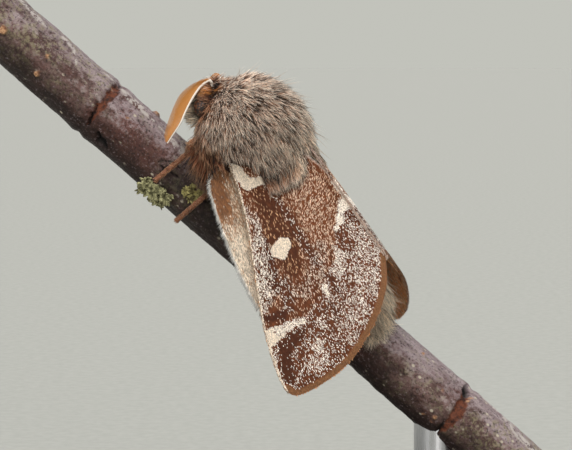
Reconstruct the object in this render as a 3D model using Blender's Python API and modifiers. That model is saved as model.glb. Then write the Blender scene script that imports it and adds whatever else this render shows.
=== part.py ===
"""A small eggar moth, life size and at rest, gripping a short cut twig that a plain stand holds up.

Run it with: blender --background --python part.py
Metres, +Z up. The origin is the middle of the stand's underside, and the moth faces up the twig to the left.
"""

import math
import random

import bmesh
import bpy
from mathutils import Matrix, Vector, noise

MM = 0.001
GAP = 0.3 * MM  # kept between pieces that touch
SOFT_GAP = 0.36 * MM  # and between those with locks, veins or side branches

# Stand: a flat base with one short rod up to the twig
BASE_SIZE = Vector((46.0, 34.0, 4.0)) * MM
BASE_EDGE = 0.8 * MM
ROD_RADIUS = 1.4 * MM
ROD_X = 10.0 * MM

# Twig: straight, cut square at both ends, and tilted so that its left end is the higher one
TWIG_LENGTH = 51.0 * MM
TWIG_RADIUS = 2.2 * MM
TWIG_TILT = math.radians(41.0)
TWIG_CENTRE = Vector((-1.7, 0.0, 24.4)) * MM
TWIG_BUMP = 0.11 * MM
TWIG_SIDES = 18
TWIG_RINGS = 44
RING_SCARS = (-15.5 * MM, 17.4 * MM)  # places of the two cracked growth rings, along the twig
SCAR_DEPTH = 0.28 * MM
SCAR_WIDTH = 0.55 * MM

# Moth: its seat on the twig, then its own axes, X to the nose, Y to its left, Z to its back
SEAT_ALONG = -5.9 * MM
SEAT_OUT = 5.75 * MM
SEAT_NEAR = 3.6 * MM
NOSE_LIFT = math.radians(16.8)  # the body is raised this much from the twig at the head
LEAN = math.radians(33.9)  # and rolled this much round its own length, towards the viewer

THORAX_CENTRE = Vector((0.0, 0.0, -0.3)) * MM
THORAX_RADII = Vector((3.7, 3.3, 3.3)) * MM
HEAD_CENTRE = Vector((3.3, 0.0, -1.3)) * MM
HEAD_RADII = Vector((1.4, 1.5, 1.5)) * MM
EYE_CENTRE = Vector((3.45, 1.2, -1.5)) * MM
EYE_RADIUS = 0.7 * MM
ABDOMEN_START = Vector((-3.0, 0.0, -0.5)) * MM
ABDOMEN_END = Vector((-14.6, 0.3, 0.1)) * MM
ABDOMEN_RADIUS = 2.1 * MM

# Wings: both pairs lie on one roof that falls from a ridge over the back
WING_THICKNESS = 0.5 * MM
RIDGE_HEIGHT = 3.3 * MM  # over the body's axis at the hinge
RIDGE_RISE = 0.062  # and this much more for each step back
RIDGE_SLOPE = math.radians(20.0)  # slope of the roof beside the ridge, and the same at the hinge
HINGE_SLOPE = math.radians(38.0)
ROOF_SLOPE = math.radians(57.0)  # and further out
ROOF_OPENS_AT = -7.0 * MM
RIDGE_ROUND = 2.0 * MM
RIDGE_OVERLAP = 0.2 * MM  # the right pair of wings reaches this much over the middle
RIDGE_OVERLAP_WAY = 3.0 * MM  # and less further out, down to nothing here
VEIN_HEIGHT = 0.14 * MM
VEIN_SHARE = 0.018  # half of a vein's width, as a share of the wing's
HIND_DROP = WING_THICKNESS + GAP + VEIN_HEIGHT

# Lichen: two patches of small lobes on the twig, with turns in degrees from its upper side
LICHEN = {
    "lichen_pale": {
        "along": -7.9 * MM, "spread": 1.0 * MM, "turn": -140, "turn_spread": 20,
        "length": (1.0 * MM, 1.6 * MM), "count": 9,
    },
    "lichen_green": {
        "along": -6.4 * MM, "spread": 0.6 * MM, "turn": -97, "turn_spread": 11.5,
        "length": (0.7 * MM, 1.1 * MM), "count": 6,
    },
}
LOBE_SIZE = (0.95 * MM, 0.55 * MM)
LICHEN_FOOT = 0.75 * MM

LEG_RADIUS = 0.26 * MM
THIGH_RADIUS = 0.36 * MM

LOCK_RINGS = (0.34, 0.7)  # where a lock has its two inner rings, from root to tip
LOCK_ROOT_DEPTH = 0.45 * MM  # how deep a lock is rooted in its core
LOCK_THICKNESS = 0.6 * MM
COAT_SEED = 7

COLOURS = {
    "fur": ((0.36, 0.29, 0.24, 1), 0.9),
    "belly_fur": ((0.50, 0.42, 0.34, 1), 0.9),
    "eye": ((0.05, 0.03, 0.02, 1), 0.25),
    "feeler": ((0.60, 0.33, 0.12, 1), 0.7),
    "forewing": ((0.30, 0.16, 0.10, 1), 0.8),
    "hindwing": ((0.50, 0.37, 0.27, 1), 0.8),
    "leg": ((0.42, 0.22, 0.12, 1), 0.8),
    "bark": ((0.30, 0.23, 0.22, 1), 0.85),
    "lichen": ((0.45, 0.47, 0.30, 1), 0.95),
    "stand": ((0.05, 0.05, 0.055, 1), 0.45),
    "rod": ((0.55, 0.55, 0.56, 1), 0.35),
}


def clear_scene():
    for obj in list(bpy.data.objects):
        bpy.data.objects.remove(obj)


def make_materials():
    made = {}
    for name, (colour, roughness) in COLOURS.items():
        material = bpy.data.materials.new(name)
        material.use_nodes = True
        shader = material.node_tree.nodes["Principled BSDF"]
        shader.inputs["Base Color"].default_value = colour
        shader.inputs["Roughness"].default_value = roughness
        shader.inputs["Metallic"].default_value = 1.0 if name == "rod" else 0.0
        made[name] = material
    return made


def new_collection(name):
    collection = bpy.data.collections.new(name)
    bpy.context.scene.collection.children.link(collection)
    return collection


def add_object(name, mesh, collection, parent):
    obj = bpy.data.objects.new(name, mesh)
    collection.objects.link(obj)
    obj.parent = parent
    return obj


def add_from_bmesh(name, bm, collection, parent, turn_out=True):
    """A mesh object of bm, with its faces turned outwards."""
    if turn_out:
        bmesh.ops.recalc_face_normals(bm, faces=bm.faces)
        if bm.calc_volume(signed=True) < 0:
            bmesh.ops.reverse_faces(bm, faces=bm.faces)
    mesh = bpy.data.meshes.new(name)
    bm.to_mesh(mesh)
    bm.free()
    return add_object(name, mesh, collection, parent)


def add_seat(name, matrix, collection, parent=None):
    seat = add_object(name, None, collection, parent)
    seat.matrix_local = matrix
    return seat


def smooth_step(value):
    value = min(1.0, max(0.0, value))
    return value * value * (3 - 2 * value)


def curve_through(points, share):
    """A point on the smooth curve through points, at that share of the way, by Catmull-Rom."""
    last = len(points) - 1
    at = min(max(share, 0.0), 1.0) * last
    i = min(int(at), last - 1)
    t = at - i
    a, b, c, d = (points[min(max(k, 0), last)] for k in (i - 1, i, i + 1, i + 2))
    bend = (2 * a - 5 * b + 4 * c - d) * t**2
    twist = (3 * b - a - 3 * c + d) * t**3
    return 0.5 * (2 * b + (c - a) * t + bend + twist)


def even_curve(points, samples=60):
    """A function from share to point, as curve_through but at an even pace along the curve."""
    fine = [curve_through(points, k / samples) for k in range(samples + 1)]
    reach = [0.0]
    for a, b in zip(fine, fine[1:]):
        reach.append(reach[-1] + (b - a).length)

    def at(share):
        wanted = share * reach[-1]
        k = 1
        while k < samples and reach[k] < wanted:
            k += 1
        part = (wanted - reach[k - 1]) / max(reach[k] - reach[k - 1], 1e-12)
        return fine[k - 1].lerp(fine[k], min(max(part, 0.0), 1.0))

    return at


# Solids


def ellipsoid(name, centre, radii, collection, parent, grow=0.0, segments=20, rings=12):
    bm = bmesh.new()
    bmesh.ops.create_uvsphere(bm, u_segments=segments, v_segments=rings, radius=1.0)
    for vert in bm.verts:
        vert.co = Vector(centre) + Vector(v * (r + grow) for v, r in zip(vert.co, radii))
    return add_from_bmesh(name, bm, collection, parent)


def rolled_grid(name, around, along, place, collection, parent):
    """A closed tube from a grid rolled up, with place(turn, share) giving each point, and its ends filled."""
    bm = bmesh.new()
    bmesh.ops.create_grid(bm, x_segments=around, y_segments=along, size=0.5)
    for vert in bm.verts:
        vert.co = place((vert.co.x + 0.5) * math.tau, vert.co.y + 0.5)
    bmesh.ops.remove_doubles(bm, verts=bm.verts, dist=1e-6)
    bmesh.ops.holes_fill(bm, edges=[e for e in bm.edges if e.is_boundary], sides=0)
    return add_from_bmesh(name, bm, collection, parent)


def tube(name, points, radii, collection, parent, grow=0.0):
    """A round, tapering tube along points, made from a bevelled curve and welded shut."""
    curve = bpy.data.curves.new(name, "CURVE")
    curve.dimensions = "3D"
    curve.bevel_depth = 1.0
    curve.bevel_resolution = 1
    curve.use_fill_caps = True
    first = points[0] + (points[0] - points[1]).normalized() * grow
    last = points[-1] + (points[-1] - points[-2]).normalized() * grow
    points = [first, *points[1:-1], last]
    spline = curve.splines.new("POLY")
    spline.points.add(len(points) - 1)
    for point, place, radius in zip(spline.points, points, radii):
        point.co = (*place, 1.0)
        point.radius = radius + grow
    holder = add_object(name, curve, collection, parent)
    graph = bpy.context.evaluated_depsgraph_get()
    mesh = bpy.data.meshes.new_from_object(holder.evaluated_get(graph))
    bpy.data.objects.remove(holder)
    bm = bmesh.new()
    bm.from_mesh(mesh)
    bmesh.ops.remove_doubles(bm, verts=bm.verts, dist=1e-6)
    return add_from_bmesh(name, bm, collection, parent)


def unit_lock():
    """A four-sided cone along X from 0 to 1, with two rings between: what every lock is bent from."""
    bm = bmesh.new()
    bmesh.ops.create_cone(bm, cap_ends=True, segments=4, radius1=1.0, radius2=0.0, depth=1.0)
    for vert in bm.verts:
        vert.co = Vector((vert.co.z + 0.5, vert.co.x, vert.co.y))
    for ring in LOCK_RINGS:
        geom = bm.verts[:] + bm.edges[:] + bm.faces[:]
        bmesh.ops.bisect_plane(bm, geom=geom, plane_co=(ring, 0, 0), plane_no=(1, 0, 0))
    for vert in bm.verts:
        if vert.co.x < 0.999:
            vert.co.yz /= 1.0 - vert.co.x
    return bm


def lock_lift(share, rise):
    """The height of a lock's middle line over its core, from its sunk root to its tip."""
    return (rise + LOCK_ROOT_DEPTH) * (1.6 * share - 0.6 * share**2) - LOCK_ROOT_DEPTH


def lock(name, centre_at, size, collection, parent, grow=0.0):
    """A flat, tapered lock. centre_at(share) gives its middle line and the way out of the coat there."""
    width, thickness = size
    bm = unit_lock()
    step = 0.02
    for vert in bm.verts:
        share, across, out = vert.co
        middle, outwards = centre_at(share)
        ahead, _ = centre_at(share + step)
        forward = (ahead - middle).normalized()
        side = forward.cross(outwards).normalized()
        up = side.cross(forward)
        taper = (0.75 + 0.6 * share) * (1.0 - share**3) if share < 0.999 else 0.0
        half_wide = width / 2 * taper + grow if taper else 0.0
        half_thick = thickness / 2 * (1.0 - 0.5 * share) + grow if taper else 0.0
        tip = forward * grow if share > 0.999 else Vector()
        vert.co = middle + side * across * half_wide + up * out * half_thick + tip
    return add_from_bmesh(name, bm, collection, parent)


def keep_largest(bm):
    """Drops every closed surface but the one that encloses the most."""
    left = set(bm.faces)
    bodies = []
    while left:
        stack = [left.pop()]
        body = list(stack)
        while stack:
            for edge in stack.pop().edges:
                for face in edge.link_faces if len(edge.link_faces) == 2 else ():
                    if face in left:
                        left.remove(face)
                        stack.append(face)
                        body.append(face)
        bodies.append(body)

    def volume(body):
        total = 0.0
        for face in body:
            first = face.verts[0].co
            for a, b in zip(face.verts[1:], face.verts[2:]):
                total += first.dot(a.co.cross(b.co))
        return total

    bodies.sort(key=volume)
    bmesh.ops.delete(bm, geom=[f for body in bodies[:-1] for f in body], context="FACES")


def fused(name, pieces, cutters, collection, parent, material):
    """One closed body: the pieces joined, then the cutters taken away, and the largest surface kept."""
    first, *others = pieces
    for operation, members in (("UNION", others), ("DIFFERENCE", cutters)):
        if not members:
            continue
        group = bpy.data.collections.new(f"{name}_{operation.lower()}")
        bpy.context.scene.collection.children.link(group)
        for member in members:
            group.objects.link(member)
        boolean = first.modifiers.new(operation.title(), "BOOLEAN")
        boolean.operation = operation
        boolean.operand_type = "COLLECTION"
        boolean.collection = group
        boolean.solver = "MANIFOLD"
        bpy.context.view_layer.update()
        graph = bpy.context.evaluated_depsgraph_get()
        mesh = bpy.data.meshes.new_from_object(first.evaluated_get(graph))
        first.modifiers.remove(boolean)
        first.data = mesh
        bpy.data.collections.remove(group)
    for other in others:
        bpy.data.objects.remove(other)
    bm = bmesh.new()
    bm.from_mesh(first.data)
    bmesh.ops.triangulate(bm, faces=bm.faces)
    keep_largest(bm)
    bpy.data.objects.remove(first)
    obj = add_from_bmesh(name, bm, collection, parent, turn_out=False)
    return finished(obj, material)


def finished(obj, material, sharp_deg=35):
    obj.data.materials.clear()
    obj.data.materials.append(material)
    obj.data.shade_smooth()
    obj.data.set_sharp_from_angle(angle=math.radians(sharp_deg))
    return obj


# Twig and stand


def twig_radius(along, turn):
    """The twig's radius: knobbly bark, with a groove at each cracked growth ring."""
    on_bark = Vector((along / (5.5 * MM), 1.3 * math.cos(turn), 1.3 * math.sin(turn)))
    radius = TWIG_RADIUS + TWIG_BUMP * noise.noise(on_bark)
    for scar in RING_SCARS:
        slant = scar + 0.5 * MM * math.sin(turn)
        radius -= SCAR_DEPTH * math.exp(-(((along - slant) / SCAR_WIDTH) ** 2))
        radius += 0.10 * MM * math.exp(-(((along - slant) / (2.6 * SCAR_WIDTH)) ** 2))
    return radius


def twig_rings():
    """Even shares along the twig, with closer rings at each scar so that its groove shows."""
    shares = [k / TWIG_RINGS for k in range(TWIG_RINGS + 1)]
    for scar in RING_SCARS:
        at = scar / TWIG_LENGTH + 0.5
        nearest = min(range(len(shares)), key=lambda k: abs(shares[k] - at))
        shares[nearest] = at
    return shares


def make_twig(name, collection, parent, grow=0.0):
    shares = twig_rings()

    def place(turn, share):
        along = (shares[round(share * TWIG_RINGS)] - 0.5) * (TWIG_LENGTH + 2 * grow)
        radius = twig_radius(along, turn) + grow
        return Vector((along, radius * math.sin(turn), radius * math.cos(turn)))

    return rolled_grid(name, TWIG_SIDES, TWIG_RINGS, place, collection, parent)


def lichen_places(patch, chance):
    """Where each lobe of a patch stands: along the twig, turn round it, length and the way it leans."""
    return [
        (
            patch["along"] + chance.uniform(-1, 1) * patch["spread"],
            math.radians(patch["turn"]) + chance.uniform(-1, 1) * math.radians(patch["turn_spread"]),
            chance.uniform(*patch["length"]),
            math.tau * k / patch["count"],
        )
        for k in range(patch["count"])
    ]


def make_lichen(name, places, collection, parent, cutters, material):
    """A cluster of small leafy lobes, each a bent lock that stands out from the bark."""
    lobes = []
    for k, (along, turn, length, sweep) in enumerate(places):
        out = Vector((0.0, math.sin(turn), math.cos(turn)))
        side = Vector((math.cos(sweep), *(math.sin(sweep) * Vector((math.cos(turn), -math.sin(turn))))))
        root = Vector((along, 0, 0)) + out * (TWIG_RADIUS + 0.15 * MM)

        def middle(share, root=root, out=out, side=side, length=length):
            rise = out * (0.9 * share - 0.35 * share**2)
            return root + length * (side * share + rise), out

        lobes.append(lock(f"lobe_{k}", middle, LOBE_SIZE, collection, parent))
    along, turn, _, _ = places[0]
    foot = Vector((along, TWIG_RADIUS * math.sin(turn), TWIG_RADIUS * math.cos(turn)))
    lobes.insert(0, ellipsoid("foot", foot, [LICHEN_FOOT] * 3, collection, parent, segments=10, rings=6))
    return fused(name, lobes, cutters, collection, parent, material)


def make_stand(collection, materials, twig_cutter):
    bm = bmesh.new()
    bmesh.ops.create_cube(bm, size=1.0)
    for vert in bm.verts:
        vert.co = Vector(c * s for c, s in zip(vert.co, BASE_SIZE))
        vert.co.z += BASE_SIZE.z / 2
    base = add_from_bmesh("stand_base", bm, collection, None)
    bevel = base.modifiers.new("Edges", "BEVEL")
    bevel.width = BASE_EDGE
    bevel.segments = 2
    bevel.limit_method = "ANGLE"
    finished(base, materials["stand"])

    foot = BASE_SIZE.z + GAP
    top = TWIG_CENTRE.z - (ROD_X - TWIG_CENTRE.x) * math.tan(TWIG_TILT)
    bm = bmesh.new()
    bmesh.ops.create_cone(
        bm, cap_ends=True, segments=24, radius1=ROD_RADIUS, radius2=ROD_RADIUS, depth=top - foot
    )
    bmesh.ops.translate(bm, verts=bm.verts, vec=(ROD_X, 0, (top + foot) / 2))
    rod = add_from_bmesh("rod", bm, collection, None)
    fused("stand_rod", [rod], [twig_cutter], collection, None, materials["rod"])


# Moth


def roof_point(x, out, drop, side):
    """A point of the wings' roof: out is the way from the ridge, drop the depth below its outer face."""
    start = RIDGE_SLOPE + (HINGE_SLOPE - RIDGE_SLOPE) * smooth_step(1.0 - x / ROOF_OPENS_AT)

    def slope_at(way):
        return ROOF_SLOPE - (ROOF_SLOPE - start) * math.exp(-max(way, 0.0) / RIDGE_ROUND)

    y = 0.0
    z = RIDGE_HEIGHT - RIDGE_RISE * x
    steps = 20
    for k in range(steps):
        slope = slope_at(out * (k + 0.5) / steps)
        y += math.cos(slope) * out / steps
        z -= math.sin(slope) * out / steps
    slope = slope_at(out)
    return Vector((x, side * (y - drop * math.sin(slope)), z - drop * math.cos(slope)))


# Each wing's outline on the roof: (x, way out from the ridge), in millimetres, as three edges from the root
FOREWING = {
    "costa": ((1.2, 4.3), (-0.56, 5.2), (-2.43, 5.75), (-4.71, 6.69), (-7.48, 8.06), (-10.55, 9.52),
              (-12.18, 10.18), (-14.24, 10.8), (-15.4, 10.95)),
    "termen": ((-15.4, 10.95), (-16.1, 10.5), (-16.3, 8.7), (-16.1, 6.7), (-15.52, 5.06), (-14.4, 3.04),
               (-13.03, 1.43), (-11.4, 0.32)),
    "dorsum": ((0.6, 2.7), (-1.6, 1.5), (-4.2, 0.45), (-7.4, 0.32), (-11.4, 0.32)),
    "stems": (0.05, 0.30, 0.62, 0.90),
    "branches": (0.17, 0.42, 0.52, 0.76),
    "drop": 0.0,
}
HINDWING = {
    "costa": ((0.5, 4.7), (-0.5, 6.3), (-1.21, 7.16), (-2.45, 7.63), (-3.89, 8.12), (-6.28, 8.77),
              (-8.5, 9.15), (-10.6, 9.4)),
    "termen": ((-10.6, 9.4), (-12.1, 8.6), (-12.6, 6.6), (-12.0, 4.2), (-9.8, 1.9)),
    "dorsum": ((-0.4, 3.1), (-2.6, 1.9), (-6.0, 1.3), (-9.8, 1.9)),
    "stems": (0.06, 0.34, 0.66, 0.92),
    "branches": (0.20, 0.50, 0.80),
    "drop": HIND_DROP,
}
BRANCH_START = 0.45  # the share of the wing's length where the veins fork
ROOT_DIVE = 0.8 * MM  # how far the hinge turns in to the body
ROOT_SHARE = 0.16
ROW_CROWDING = 1.4  # rows of faces stand closer together towards the root


def wing_columns(shape):
    """Shares across the wing: its two edges, and three columns for each vein."""
    veins = sorted(shape["stems"] + shape["branches"])
    columns = [0.0, 1.0]
    for vein in veins:
        columns += [vein - VEIN_SHARE, vein, vein + VEIN_SHARE]
    return sorted(columns)


def make_wing(name, shape, side, collection, parent, rows, grow=0.0):
    """A thin curved wing: a grid laid on the roof with the main veins raised, and a smooth copy under it."""
    edges = {
        key: even_curve([Vector((x * MM, out * MM)) for x, out in shape[key]])
        for key in ("costa", "termen", "dorsum")
    }
    root = [edges["costa"](0), edges["dorsum"](0)]
    corners = root + [edges["termen"](0), edges["termen"](1)]
    columns = [k / 8 for k in range(9)] if grow else wing_columns(shape)

    def on_plan(p, q):
        """The Coons patch between the root, costa, termen and dorsum."""
        across = edges["costa"](p) * (1 - q) + edges["dorsum"](p) * q
        along = root[0].lerp(root[1], q) * (1 - p) + edges["termen"](q) * p
        corner = corners[0].lerp(corners[1], q).lerp(corners[2].lerp(corners[3], q), p)
        return across + along - corner

    def place(p, q, below):
        """The point that far below the wing's outer face. The hinge dives in to the body."""
        plan = on_plan(p, q)
        plan.y += side * RIDGE_OVERLAP * (1 - smooth_step(plan.y / RIDGE_OVERLAP_WAY))
        dive = ROOT_DIVE * (1 - smooth_step(p / ROOT_SHARE))
        return roof_point(plan.x, plan.y, shape["drop"] + dive + below, side)

    def vein_height(p, q):
        veined = q in shape["stems"] or (q in shape["branches"] and p > BRANCH_START)
        return VEIN_HEIGHT if grow or veined else 0.0

    bm = bmesh.new()
    bmesh.ops.create_grid(bm, x_segments=len(columns) - 1, y_segments=rows, size=0.5)
    shares = {}
    for vert in bm.verts:
        p = max(vert.co.y + 0.5, 0.0) ** ROW_CROWDING
        q = columns[round((vert.co.x + 0.5) * (len(columns) - 1))]
        shares[vert] = (p, q)
        vert.co = place(p, q, 0.0)
    bmesh.ops.triangulate(bm, faces=bm.faces, quad_method="SHORT_EDGE")
    copies = bmesh.ops.duplicate(bm, geom=bm.verts[:] + bm.edges[:] + bm.faces[:])["vert_map"]
    for vert, (p, q) in shares.items():
        copies[vert].co = place(p, q, WING_THICKNESS)
        vert.co = place(p, q, -vein_height(p, q))
    bmesh.ops.bridge_loops(bm, edges=[edge for edge in bm.edges if edge.is_boundary])
    wing = add_from_bmesh(name, bm, collection, parent)
    return swollen(wing, grow, collection, parent) if grow else wing


def swollen(obj, grow, collection, parent):
    """The object's evaluated mesh moved outwards all over by grow, for cutting clear of it."""
    bpy.context.view_layer.update()
    graph = bpy.context.evaluated_depsgraph_get()
    bm = bmesh.new()
    bm.from_mesh(obj.evaluated_get(graph).data)
    name = obj.name
    bpy.data.objects.remove(obj)
    bm.normal_update()
    if bm.calc_volume(signed=True) < 0:
        bmesh.ops.reverse_faces(bm, faces=bm.faces)
        bm.normal_update()
    moves = [vert.normal * grow * min(vert.calc_shell_factor(), 1.8) for vert in bm.verts]
    for vert, move in zip(bm.verts, moves):
        vert.co += move
    return add_from_bmesh(name, bm, collection, parent)


def body_surface(centre, radii, back=True):
    """A function (from the front pole, round, lift) to a point and the way out, on an ellipsoid."""

    def at(polar, turn, lift):
        unit = Vector((math.cos(polar), math.sin(polar) * math.sin(turn), math.sin(polar) * math.cos(turn)))
        if not back:
            unit.x = -unit.x
        point = centre + Vector(u * (r + lift) for u, r in zip(unit, radii))
        outwards = Vector(u / r for u, r in zip(unit, radii)).normalized()
        return point, outwards

    return at


def coat(prefix, surface, rings, chance, collection, parent, grow=0.0):
    """Rings of locks. A ring is (polar angle of its roots, angle its locks span, count, width, rise)."""
    made = []
    for r, (polar, span, count, width, rise) in enumerate(rings):
        for k in range(count):
            turn = math.tau * (k + 0.5 * (r % 2)) / count + chance.uniform(-0.10, 0.10)
            own_span = math.radians(span) * chance.uniform(0.88, 1.12)
            own_rise = rise * chance.uniform(0.85, 1.15)
            twist = chance.uniform(-0.12, 0.12)
            own_polar = math.radians(polar + chance.uniform(-3, 3))

            def middle(share, polar=own_polar, turn=turn, span=own_span, rise=own_rise, twist=twist):
                return surface(polar + span * share, turn + twist * share, lock_lift(share, rise))

            size = (width * chance.uniform(0.9, 1.1), LOCK_THICKNESS)
            made.append(lock(f"{prefix}_{r}_{k}", middle, size, collection, parent, grow))
    return made


THORAX_COAT = (
    (36, 48, 10, 2.1 * MM, 1.15 * MM),
    (68, 46, 12, 2.4 * MM, 1.28 * MM),
    (100, 44, 13, 2.3 * MM, 1.20 * MM),
)
HEAD_COAT = (
    (62, 42, 9, 1.15 * MM, 0.75 * MM),
    (98, 44, 8, 1.10 * MM, 0.80 * MM),
    (128, 34, 5, 0.95 * MM, 0.75 * MM),
)
ABDOMEN_COAT = (
    (0.34, 0.26, 8, 1.5 * MM, 0.45 * MM),
    (0.62, 0.26, 8, 1.5 * MM, 0.50 * MM),
    (0.86, 0.24, 8, 1.3 * MM, 0.45 * MM),
)


TAIL_START = 0.86  # share of the abdomen's length where its last locks close in
TAIL_FALL = 2.6 * MM  # and how fast they do, for each whole length


def abdomen_radius(share):
    """The abdomen's radius along its length: full in front, blunt behind."""
    share = min(max(share, 0.0), 1.0)
    blunt = max(0.0, (share - 0.72) / 0.28)
    return ABDOMEN_RADIUS * (1.0 - 0.16 * share) * math.sqrt(max(0.0, 1.0 - blunt**2.4))


def abdomen_at(share, turn, lift):
    """A point on the abdomen, or past its end along its own line, and the way out there."""
    along = ABDOMEN_END - ABDOMEN_START
    out = Vector((0.0, math.sin(turn), math.cos(turn)))
    radius = abdomen_radius(share) + lift
    return ABDOMEN_START + along * share + out * max(radius, 0.15 * MM), out


def abdomen_core(name, collection, parent, grow=0.0):
    def place(turn, share):
        along = ABDOMEN_END - ABDOMEN_START
        out = Vector((0.0, math.sin(turn), math.cos(turn)))
        stretch = along.normalized() * grow * (2 * share - 1)
        return ABDOMEN_START + along * share + stretch + out * (abdomen_radius(share * 0.985) + grow)

    return rolled_grid(name, 16, 12, place, collection, parent)


def tail_coat(collection, parent, chance):
    made = []
    for r, (start, span, count, width, rise) in enumerate(ABDOMEN_COAT):
        for k in range(count):
            turn = math.tau * (k + 0.5 * (r % 2)) / count + chance.uniform(-0.12, 0.12)
            own_span = span * chance.uniform(0.9, 1.15)
            own_width = width * chance.uniform(0.9, 1.1)
            under_wings = math.cos(turn) > 0.45 and start < 0.7
            if under_wings:
                continue

            def middle(share, turn=turn, start=start, span=own_span, rise=rise):
                at = start + span * share
                fall = max(0.0, at - TAIL_START) * TAIL_FALL
                radius = abdomen_radius(min(at, TAIL_START)) + lock_lift(share, rise) - fall
                out = Vector((0.0, math.sin(turn), math.cos(turn)))
                along = ABDOMEN_END - ABDOMEN_START
                return ABDOMEN_START + along * at + out * radius, out

            size = (own_width, LOCK_THICKNESS)
            made.append(lock(f"tail_{r}_{k}", middle, size, collection, parent))
    return made


# Legs: (place along the twig from the seat, turn where the foot starts and ends, knee, hip), millimetres
LEGS = {
    "fore": {"along": -2.6, "turns": (48, 80, 112), "knee": (1.7, 2.5, -3.1), "hip": (1.9, 1.2, -2.3)},
    "mid": {"along": 0.3, "turns": (62, 96, 146), "knee": (-0.7, 2.4, -3.5), "hip": (0.1, 1.3, -2.4)},
    "hind": {"along": 4.6, "turns": (42, 66, 92), "knee": (-3.0, 2.2, -3.8), "hip": (-1.7, 1.2, -2.6)},
}


def leg_path(leg, side, to_moth):
    """Points down one leg, in the moth's axes: hip, knee, then along the foot round the twig."""
    hip = Vector(leg["hip"]) * MM
    knee = Vector(leg["knee"]) * MM
    for point in (hip, knee):
        point.y *= side
    held = TWIG_RADIUS + GAP + LEG_RADIUS
    along = SEAT_ALONG + leg["along"] * MM
    foot = []
    for k, degrees in enumerate(leg["turns"]):
        turn = math.radians(degrees)
        reach = held + (0.12 * MM if k == 0 else 0.05 * MM)
        point = Vector((along - 0.25 * MM * k, -side * reach * math.sin(turn), reach * math.cos(turn)))
        foot.append(to_moth @ point)
    shin = knee.lerp(foot[0], 0.5) + Vector((0, side * 0.25 * MM, 0))
    return [hip, hip.lerp(knee, 0.5), knee, shin] + foot


def make_leg(name, path, collection, parent, grow=0.0):
    """A leg's tube, in two steps for each stretch between the points of its path."""
    radii = [THIGH_RADIUS * 1.1, THIGH_RADIUS * 1.15, THIGH_RADIUS, LEG_RADIUS * 1.2, LEG_RADIUS * 1.1]
    radii += [LEG_RADIUS] * (len(path) - len(radii))
    dense = []
    wide = []
    steps = 2 * (len(path) - 1)
    for k in range(steps + 1):
        share = k / steps
        dense.append(curve_through(path, share))
        wide.append(curve_through([Vector((r, 0)) for r in radii], share).x)
    return tube(name, dense, wide, collection, parent, grow)


# Feelers: a shaft that droops beside the face, with a row of side branches on either side, swept into a blade
FEELER_PATH = (
    (4.15, 0.5, -0.55), (4.75, 0.72, -0.25), (4.74, 1.1, -0.84), (4.5, 1.5, -1.33), (4.2, 1.85, -1.8),
    (3.81, 2.2, -2.34), (3.34, 2.55, -2.95), (2.89, 2.9, -3.94), (2.7, 3.03, -4.35),
)
FEELER_RADIUS = 0.25 * MM
BRANCH_COUNT = 9
BRANCH_LENGTH = 0.95 * MM
BRANCH_SIZE = (0.62 * MM, 0.5 * MM)
BRANCH_SPREAD = math.radians(14)  # each row leans this much to its side
FAR_FEELER_SHIFT = (-0.15, -0.15, -0.3)  # the right feeler is held a little lower, out of the photo's sight


def make_feeler(name, side, collection, parent, cutters=(), grow=0.0, material=None):
    shift = Vector(FAR_FEELER_SHIFT) * MM if side < 0 else Vector()
    path = [Vector((x, side * y, z)) * MM + shift for x, y, z in FEELER_PATH]
    fine = [curve_through(path, k / 14) for k in range(15)]
    radii = [FEELER_RADIUS * (1.0 - 0.45 * (k / 14) ** 2) for k in range(15)]
    pieces = [tube(f"{name}_shaft", fine, radii, collection, parent, grow)]
    for row, spread in enumerate((-BRANCH_SPREAD, BRANCH_SPREAD)):
        for k in range(BRANCH_COUNT):
            share = 0.24 + 0.74 * k / (BRANCH_COUNT - 1)
            root = curve_through(path, share)
            before, after = (curve_through(path, share + step) for step in (-0.02, 0.02))
            ahead = (after - before).normalized()
            fore = Vector((1.0, side * 0.40, -0.15))
            fore = (fore - ahead * fore.dot(ahead)).normalized()
            inwards = ahead.cross(fore) * side
            reach = (fore * math.cos(spread) + inwards * math.sin(spread)).normalized()
            swell = math.sin(math.pi * (0.10 + 0.86 * (k + 0.6) / BRANCH_COUNT)) ** 0.6
            length = BRANCH_LENGTH * swell
            flat = reach.cross(ahead).normalized()

            def middle(part, root=root, reach=reach, ahead=ahead, length=length, flat=flat):
                sweep = ahead * 0.55 * part
                return root + (reach * part + sweep) * length, flat

            pieces.append(lock(f"{name}_{row}_{k}", middle, BRANCH_SIZE, collection, parent, grow))
    return fused(name, pieces, list(cutters), collection, parent, material) if material else pieces


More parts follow.
